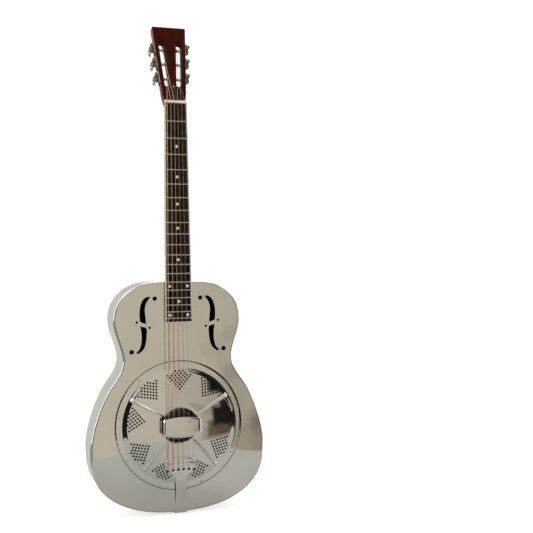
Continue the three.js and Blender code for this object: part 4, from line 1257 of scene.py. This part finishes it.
def gear(side):
    pitch_radius = GEAR_TEETH * GEAR_MODULE / 2
    tip, root = pitch_radius + 0.7, pitch_radius - 0.95
    outline = []
    for k in range(GEAR_TEETH):
        middle = 2 * math.pi * (k + 0.5) / GEAR_TEETH + math.pi / 2
        for radius, half in ((root, -0.68), (pitch_radius, -0.52), (tip - 0.15, -0.36), (tip, -0.22),
                             (tip, 0.22), (tip - 0.15, 0.36), (pitch_radius, 0.52), (root, 0.68)):
            outline.append((radius, middle + half / radius))
    left = side * TUNER_OUT - 1.5
    rings = []
    for x, shrink in ((left, 0.25), (left + 0.25, 0), (left + 2.75, 0), (left + 3, 0.25)):
        ring = [((r - shrink) * math.cos(a), (r - shrink) * math.sin(a)) for r, a in outline]
        rings.append([Vector((x, y, z)) for y, z in ring])
    hub_x = side * (TUNER_OUT + 1.5)
    hub = rod((hub_x, 0, 0), (hub_x + side * 0.9, 0, 0), 3.1, 32, 0.3)
    screw = rod((hub_x + side * 0.9, 0, 0), (hub_x + side * 1.9, 0, 0), 2.2, 28, 0.45)
    return joined(loft(rings), hub), screw


def roller(side, u):
    length = roller_length(u)
    shapes = [rod((side * 3.4, 0, 0), (-side * length, 0, 0), ROLLER_RADIUS, 32, 0.2)]
    shapes.append(rod((side * 1, 0, 0), (side * 6.5, 0, 0), 2.2, 24))
    return joined(*shapes)


def string_place(i):
    """Where string i meets its roller: along the tuner's own x, inwards from the wood."""
    side, u = TUNERS[i]
    return side, u, head_half(u) - slot_centre(u) + 1.8


def winding(i):
    """The turns of string i on its roller, in the tuner's own frame."""
    side, _, inward = string_place(i)
    radius = STRING_RADII[i]
    coil = ROLLER_RADIUS + radius
    turns = 3.0 if i < 3 else 4.0
    path = []
    steps = int(turns * 24)
    for k in range(steps + 1):
        angle = -math.pi / 2 + 2 * math.pi * k / 24
        x = -side * (inward + k / 24 * radius * 2.1)
        path.append((x, coil * math.sin(angle), -coil * math.cos(angle)))
    return tube(path, radius, 10)


def string_finish(i):
    """Material and record slot of string i."""
    return (BRONZE, "bronze_wound") if i < WOUND else (STEEL, "steel")


def tuners():
    for i, (side, u) in enumerate(TUNERS):
        n = i + 1
        here = tuner_matrix(side, u)
        shaft = here @ Matrix.Translation((side * TUNER_OUT, 0, WORM_UP))
        tuner, roller_body = f"tuner_{n}", f"roller_{n}"
        wheel, screw = gear(side)
        plate = moved(bracket(side), here)
        add(f"bracket_{n}", plate, SATIN, "chrome_hardware", replaced=[f"tuner_bracket_{n}"])
        add(f"worm_{n}", moved(worm(), shaft), BRASS, "brass", tuner, [f"worm_shaft_{n}"])
        add(f"button_{n}", moved(button(), shaft), CHROME, "chrome_hardware", tuner, [f"tuner_button_{n}"])
        add(f"gear_{n}", moved(wheel, here), BRASS, "brass", roller_body, [f"roller_gear_{n}"])
        add(f"gear_screw_{n}", moved(screw, here), STEEL, "steel", roller_body)
        bar = moved(roller(side, u), here)
        add(f"roller_bar_{n}", bar, STEEL, "steel", roller_body, [f"string_roller_{n}"])
        add(f"string_winding_{n}", moved(winding(i), here), *string_finish(i), roller_body)


# ---------------------------------------------------------------- strings and tailpiece
def string_path(i):
    """The middle of string i: from behind the tailpiece over the saddle and the nut to its roller."""
    side, u, inward = string_place(i)
    radius = STRING_RADII[i]
    place = i - 2.5
    clear = radius + 0.05
    crown = SADDLE_TOP_Y - 0.05 + 0.035 * place * place - clear
    nut_y = NUT_TOP_Y + 0.3 - clear
    at_tail = STRING_AT_TAIL * place
    at_saddle = STRING_AT_SADDLE * place
    at_nut = STRING_AT_NUT * place
    return [
        (at_tail, TAIL_Y + 2.2, TAIL_HOLE_Z - 1.2),
        (at_tail, TAIL_Y - 0.4, TAIL_HOLE_Z + 0.6),
        (at_tail, TAIL_Y - clear - 0.4, TAIL_HOLE_Z + 3),
        (at_saddle, crown, CONE_Z - 1.2),
        (at_saddle, crown - 0.1, CONE_Z),
        (at_saddle, crown, CONE_Z + 1.2),
        (at_nut, nut_y, 0.2),
        (at_nut, nut_y + 0.05, 2.5),
        (at_nut, nut_y + 1.2, 5.6),
        tuple(tuner_matrix(side, u) @ Vector((-side * inward, -ROLLER_RADIUS - radius, 0))),
    ]


def strings():
    for i in range(len(TUNERS)):
        wire = tube(string_path(i), STRING_RADII[i], 12)
        add(f"string_wire_{i + 1}", wire, *string_finish(i), replaced=[f"string_{i + 1}"])
        x, y = STRING_AT_TAIL * (i - 2.5), TAIL_Y + 2.6
        # Each ball is near-black painted shade, so that its tail hole reads dark.
        ball = rod((x, y, TAIL_HOLE_Z - 3.4), (x, y, TAIL_HOLE_Z + 0.4), 1.7, 20, 0.3)
        add(f"string_ball_{i + 1}", ball, PAINTED_SHADE, "brass")


def tail_outline():
    """Right half of the tailpiece, from the middle of its top edge down to the stem's foot."""
    corner = Vector((TAIL_HEAD_HALF, TAIL_TOP_Z - 8))
    hip = Vector((TAIL_HEAD_HALF - 1, TAIL_HOLE_Z - 3))
    waist = Vector((TAIL_STEM_HALF, TAIL_STEM_Z))
    foot = Vector((TAIL_STEM_HALF + 2.5, TAIL_WRAP_Z))
    right = bezier(Vector((0, TAIL_TOP_Z)), Vector((16, TAIL_TOP_Z)),
                   Vector((26, TAIL_TOP_Z - 3)), corner, 10)
    right += bezier(corner, Vector((TAIL_HEAD_HALF + 1.6, TAIL_TOP_Z - 15)),
                    Vector((TAIL_HEAD_HALF + 1.2, TAIL_HOLE_Z + 1)), hip, 8)[1:]
    right += bezier(hip, Vector((TAIL_HEAD_HALF - 6, TAIL_HOLE_Z - 10)),
                    Vector((TAIL_STEM_HALF + 2.2, TAIL_HOLE_Z - 10)), waist, 14)[1:]
    right += bezier(waist, Vector((TAIL_STEM_HALF - 0.9, TAIL_STEM_Z - 20)),
                    Vector((TAIL_STEM_HALF - 0.4, TAIL_WRAP_Z + 14)), foot, 8)[1:]
    return right


def bead_line(drop):
    return lambda x: TAIL_TOP_Z - drop - 5.5 * (abs(x) / TAIL_HEAD_HALF) ** 2.2


TAIL_BEADS = (bead_line(2.5), bead_line(10.5))


def tail_front(z):
    """The y of the tailpiece's front at a height: level over the coverplate, then down to the tail."""
    return mix(TAIL_Y, TAIL_FOOT_Y, smoothstep(TAIL_HOLE_Z - 22, -818, z))


def flange_drop(x, z):
    """How far the stem's edges lie behind the lobe pressed up along its middle."""
    half = LOBE_HALF + 14 * smoothstep(-764, -740, z) ** 2
    round_z = LOBE_END_Z + LOBE_HALF
    out = abs(x) - half if z > round_z else math.hypot(x, z - round_z) - LOBE_HALF
    return LOBE_DROP * smoothstep(-0.4, 1.8, out) * (1 - 0.7 * smoothstep(-803, -812, z))


def cut_across(work, places, normal):
    """Cuts a mesh by planes at distances along an axis, so that it can bend there."""
    for place in places:
        everything = work.verts[:] + work.edges[:] + work.faces[:]
        point = Vector(normal) * place * MM
        bmesh.ops.bisect_plane(work, geom=everything, plane_co=point, plane_no=normal, dist=1e-7)


def tail_depth(x, z):
    """The y of the tailpiece's front at a place."""
    crown = 0.5 * (x / TAIL_HEAD_HALF) ** 2
    on_stem = smoothstep(-752, TAIL_STEM_Z, z) * (1 - 0.8 * smoothstep(-795, -816, z))
    crown += 0.4 * (x / TAIL_STEM_HALF) ** 2 * on_stem
    beads = sum(0.6 * math.exp(-(((z - line(x)) / 0.8) ** 2)) for line in TAIL_BEADS)
    inside = smoothstep(TAIL_HEAD_HALF, TAIL_HEAD_HALF - 3, abs(x))
    return tail_front(z) + crown + flange_drop(x, z) - beads * inside


def tailpiece():
    """A broad stepped head that the strings hook into, on a stem that wraps over the tail."""
    outline = tail_outline()
    loop = [tuple(p) for p in outline] + [(-p.x, p.y) for p in reversed(outline[1:])]
    holes = []
    for i in range(6):
        place = i - 2.5
        holes.append(circle(STRING_AT_TAIL * place, TAIL_HOLE_Z - 0.2 - 0.4 * place * place, 2.6, 24))
    mesh = plate_mesh("string_tail", [loop] + holes, 0, TAIL_THICK, bevel=0.6, bevel_steps=4)
    work = bmesh.new()
    work.from_mesh(mesh)
    cut_across(work, [TAIL_TOP_Z - 1 - 0.5 * k for k in range(36)], (0, 0, 1))
    cut_across(work, [TAIL_TOP_Z - 19 - 3 * k for k in range(30)], (0, 0, 1))
    cut_across(work, [2.7 * k for k in range(-10, 11)], (1, 0, 0))
    cut_across(work, [side * (6.2 + 0.8 * k) for side in (-1, 1) for k in range(8)], (1, 0, 0))
    for vert in work.verts:
        vert.co.y += tail_depth(vert.co.x / MM, vert.co.z / MM) * MM
    work.to_mesh(mesh)
    work.free()
    mesh.shade_smooth()
    mesh.set_sharp_from_angle(angle=math.radians(35))
    piece = dress(new_object("string_tail", mesh), NICKEL, replaced=["tailpiece"])
    # The tailpiece's back faces take painted shade, which the coverplate reflects as a dark line.
    two_tone(piece, PAINTED_SHADE, lambda face: face.normal.y > 0.3)
    tail_wrap()


def tail_wrap():
    """The end of the stem, bent over the body's edge and along the tail to the end pin."""
    low = BODY_END_Z - 1.9
    front = TAIL_FOOT_Y + TAIL_THICK / 2
    path = [Vector((0, front, TAIL_WRAP_Z)), Vector((0, front, low + 5))]
    path += [Vector((0, front + 5.5 * c, low + 0.8 + 4.2 * s)) for c, s in quarter(8, first=1)]
    path += [Vector((0, y, low + 0.8)) for y in (8, 20, PIN_Y, PIN_Y + 6, PIN_Y + 9)]
    rings = []
    for i, p in enumerate(path):
        along = (path[min(i + 1, len(path) - 1)] - path[max(i - 1, 0)]).normalized()
        out = Vector((0, along.z, -along.y))
        wide = TAIL_STEM_HALF + 2.6 - 5 * smoothstep(PIN_Y + 3, PIN_Y + 9, p.y)
        ring = []
        for c, s in turns(32):
            flat = math.copysign(abs(c) ** 0.3, c)
            ring.append(p + Vector((flat * wide, 0, 0)) + out * (s * TAIL_THICK / 2))
        rings.append(ring)
    add("tail_wrap", loft(rings), NICKEL, "chrome_hardware", sharp=40)


def end_pin():
    start = BODY_END_Z - 1.9
    low = start - 3
    profile = [(0.3, start + 4), (3.3, start + 4), (3.3, start - 0.3), (PIN_HEAD - 0.3, start - 0.3)]
    profile += [(PIN_HEAD - 1.4 * c, low + 1.4 * s) for c, s in quarter(6)]
    profile.append((0.3, low))
    add("end_pin_head", spun(profile, 64, (0, PIN_Y, 0), upright=True), CHROME, "chrome_hardware",
        replaced=["end_pin"], sharp=45)


def hidden_metal_and_wood():
    """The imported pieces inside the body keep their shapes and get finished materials."""
    for name, material in (("neck_stick", MAPLE_DARKENED_FOR_SHADE), ("truss_rod", STEEL), ("truss_rod_nut", BRASS)):
        data = frame["nodes"][name].data
        data.materials.clear()
        data.materials.append(material)


# ---------------------------------------------------------------- stage, light and camera
FLOOR_CENTRE_Y = -120
FLOOR_RADII = (300, 520)


def floor():
    material, nodes, links, shader = new_material("pale_floor")
    place = object_coordinates(nodes, links)
    cloud = noise(nodes, links, place, 2.0, 3.0)
    tone = ramp(nodes, links, cloud, [(0.3, (0.46, 0.45, 0.43)), (0.7, (0.50, 0.49, 0.47))])
    links.new(tone, shader.inputs["Base Color"])
    shader.inputs["Roughness"].default_value = 0.9
    shader.inputs["Specular IOR Level"].default_value = 0.1
    path = nodes.new("ShaderNodeLightPath")
    lift = math_node(nodes, links, "MULTIPLY", path.outputs["Is Camera Ray"], 0.75)
    links.new(lift, shader.inputs["Emission Strength"])
    shader.inputs["Emission Color"].default_value = (1, 1, 1, 1)
    low = CAD_BOX[0].z / MM - 0.2
    points, faces = [], []
    steps = 96
    points.append(Vector((0, FLOOR_CENTRE_Y, low)))
    for radius in FLOOR_RADII:
        points += [Vector((x, y, low)) for x, y in circle(0, FLOOR_CENTRE_Y, radius, steps)]
    for k in range(steps):
        n = (k + 1) % steps
        faces.append((0, 1 + k, 1 + n))
        faces.append((1 + k, 1 + steps + k, 1 + steps + n, 1 + n))
    mesh = bpy.data.meshes.new("floor")
    mesh.from_pydata([p * MM for p in points], [], faces)
    piece = new_object("floor", mesh)
    mesh.materials.append(material)
    if mesh.polygons[0].normal.z < 0:
        mesh.flip_normals()


def soft_light(name, place, aim, size, power, colour=(1, 1, 1)):
    light = bpy.data.lights.new(name, "AREA")
    light.shape = "RECTANGLE"
    light.size, light.size_y = size
    light.energy = power
    light.color = colour
    holder = bpy.data.objects.new(name, light)
    holder.location = place
    holder.rotation_euler = (Vector(aim) - Vector(place)).to_track_quat("-Z", "Y").to_euler()
    bpy.context.scene.collection.objects.link(holder)


def math_node(nodes, links, operation, a, b=0.0):
    """A maths node; each input is a number or another node's output."""
    node = nodes.new("ShaderNodeMath")
    node.operation = operation
    for socket, value in zip(node.inputs, (a, b)):
        if isinstance(value, (int, float)):
            socket.default_value = value
        else:
            links.new(value, socket)
    return node.outputs["Value"]


def blended(nodes, links, factor, a, b):
    """One colour over another by a factor; the second may be a plain colour."""
    node = nodes.new("ShaderNodeMix")
    node.data_type = "RGBA"
    links.new(factor, node.inputs["Factor"])
    links.new(a, node.inputs["A"])
    if isinstance(b, tuple):
        node.inputs["B"].default_value = (*b, 1)
    else:
        links.new(b, node.inputs["B"])
    return node.outputs["Result"]


def studio_colour(nodes, links, azimuth, z):
    """Colours round the horizon, and others near the floor and the ceiling."""
    share = math_node(nodes, links, "ADD", math_node(nodes, links, "DIVIDE", azimuth, 2 * math.pi), 0.5)
    around = ramp(nodes, links, share, [(degrees / 360 + 0.5, colour) for degrees, colour in WORLD_AROUND])
    height = math_node(nodes, links, "ADD", math_node(nodes, links, "MULTIPLY", z, 0.5), 0.5)
    up = ramp(nodes, links, height, WORLD_UP)
    amount = ramp(nodes, links, height, WORLD_UP_AMOUNT)
    return blended(nodes, links, amount, around, up)


def inside_patch(nodes, links, azimuth, elevation, patch):
    """How far a direction lies inside a patch, from 0 to 1 across its soft edges."""
    azimuth_low, azimuth_high, low, high, soft, _ = patch
    inside = None
    for value, edge, sign in ((azimuth, azimuth_low, 1), (azimuth, azimuth_high, -1),
                              (elevation, low, 1), (elevation, high, -1)):
        gap = math_node(nodes, links, "SUBTRACT", value, math.radians(edge))
        gap = math_node(nodes, links, "MULTIPLY", gap, sign / math.radians(soft))
        gap = math_node(nodes, links, "ADD", gap, 0.5)
        gap.node.use_clamp = True
        inside = gap if inside is None else math_node(nodes, links, "MULTIPLY", inside, gap)
    return inside


def world():
    """A studio: a ring of greys, with a few dark and light patches that the plating shows."""
    made = bpy.data.worlds.new("studio")
    bpy.context.scene.world = made
    made.use_nodes = True
    nodes, links = made.node_tree.nodes, made.node_tree.links
    place = nodes.new("ShaderNodeTexCoord")
    parts = nodes.new("ShaderNodeSeparateXYZ")
    links.new(place.outputs["Generated"], parts.inputs["Vector"])
    x, y, z = parts.outputs
    azimuth = math_node(nodes, links, "ARCTAN2", x, math_node(nodes, links, "MULTIPLY", y, -1.0))
    elevation = math_node(nodes, links, "ARCSINE", z)
    colour = studio_colour(nodes, links, azimuth, z)
    for patch in WORLD_PATCHES:
        inside = inside_patch(nodes, links, azimuth, elevation, patch)
        colour = blended(nodes, links, inside, colour, patch[-1])
    path = nodes.new("ShaderNodeLightPath")
    colour = blended(nodes, links, path.outputs["Is Camera Ray"], colour, grey(1.05))
    background = nodes["Background"]
    links.new(colour, background.inputs["Color"])
    background.inputs["Strength"].default_value = 1.0


# Degrees round from the front, rightwards, and the colour there.
WORLD_AROUND = [
    (-180, (0.63, 0.63, 0.58)),
    (-150, (0.60, 0.61, 0.59)),
    (-100, (0.80, 0.82, 0.83)),
    (-60, (0.75, 0.75, 0.72)),
    (-10, (0.60, 0.57, 0.50)),
    (7.8, (0.60, 0.56, 0.47)),
    (13.3, (0.56, 0.52, 0.43)),
    (18.7, (0.47, 0.43, 0.36)),
    (24, (0.40, 0.37, 0.31)),
    (60, (0.62, 0.58, 0.50)),
    (110, (0.62, 0.60, 0.55)),
    (180, (0.60, 0.59, 0.54)),
]
WORLD_UP = [(0.0, (0.42, 0.41, 0.40)), (0.45, (0.50, 0.48, 0.46)), (1.0, (0.95, 0.95, 0.95))]
WORLD_UP_AMOUNT = [(0.25, grey(1.0)), (0.42, grey(0.0)), (0.86, grey(0.0)), (0.97, grey(1.0))]
# Azimuth from, to; elevation from, to; softness, all in degrees; colour. Later ones lie over earlier ones.
WORLD_PATCHES = [
    (15.2, 60.0, -8.2, -5.2, 1.2, (0.38, 0.35, 0.285)),
    (16.4, 60.0, -10.6, -7.8, 1.0, (0.45, 0.415, 0.345)),
    (16.4, 60.0, -14.0, -10.4, 1.0, (0.39, 0.355, 0.29)),
    (18.4, 56.0, -13.2, -9.0, 1.4, (0.15, 0.12, 0.085)),
    (23.5, 56.0, -12.6, -2.6, 1.2, (0.030, 0.022, 0.018)),
    (20.4, 56.0, -10.5, -4.8, 1.4, (0.022, 0.016, 0.013)),
    (22.0, 31.0, -12.6, -10.2, 1.2, (0.12, 0.085, 0.065)),
    (20.2, 50.0, -1.6, 26.0, 1.2, (0.014, 0.015, 0.014)),
    (-37.0, -5.0, -17.5, 10.0, 1.5, (0.012, 0.012, 0.014)),
    (-118.0, -68.0, -30.0, -3.0, 2.0, (0.10, 0.09, 0.08)),
    (-118.0, -68.0, -3.0, 50.0, 2.0, (1.7, 1.7, 1.7)),
    (72.0, 120.0, -30.0, 10.0, 4.0, (1.5, 1.5, 1.5)),
    (-146.0, -119.0, -25.0, 17.0, 1.2, (0.014, 0.014, 0.013)),
    (-138.5, -134.5, -15.0, 9.0, 1.5, (0.13, 0.10, 0.07)),
    (-127.0, -124.0, -9.0, 13.0, 1.5, (0.09, 0.08, 0.06)),
    (146.0, 166.0, -18.0, 6.0, 1.5, (0.060, 0.028, 0.018)),
    (150.0, 156.0, -11.0, 1.0, 2.0, (0.22, 0.12, 0.08)),
]

CAMERA_PLACE = (-0.3892, -1.7229, -0.3323)
CAMERA_HEADING = 18.589  # degrees to the right of straight ahead
CAMERA_TILT = 0.055
CAMERA_ROLL = -0.843
CAMERA_LENS = 58.79


def camera():
    data = bpy.data.cameras.new("camera")
    data.lens = CAMERA_LENS
    data.sensor_width = 36.0
    holder = bpy.data.objects.new("camera", data)
    holder.location = CAMERA_PLACE
    turn = Matrix.Rotation(math.radians(-CAMERA_HEADING), 3, "Z")
    turn @= Matrix.Rotation(math.radians(90 + CAMERA_TILT), 3, "X")
    turn @= Matrix.Rotation(math.radians(CAMERA_ROLL), 3, "Z")
    holder.rotation_euler = turn.to_euler()
    bpy.context.scene.collection.objects.link(holder)
    bpy.context.scene.camera = holder


camera()
body_shell()
cone_parts()
coverplate()
hand_rest()
neck()
fretboard()
nut_piece()
truss_cover()
tuners()
strings()
tailpiece()
end_pin()
hidden_metal_and_wood()
floor()
soft_light("key", (-1.6, -2.2, 2.0), (0, 0, -0.35), (1.6, 1.2), 26)
soft_light("fill", (2.4, -1.6, 1.4), (0, 0, -0.35), (1.4, 1.4), 10)
soft_light("rear", (0.8, 2.4, 1.6), (0, 0, -0.3), (1.6, 1.2), 34)
world()
bpy.context.scene.view_settings.view_transform = "Standard"
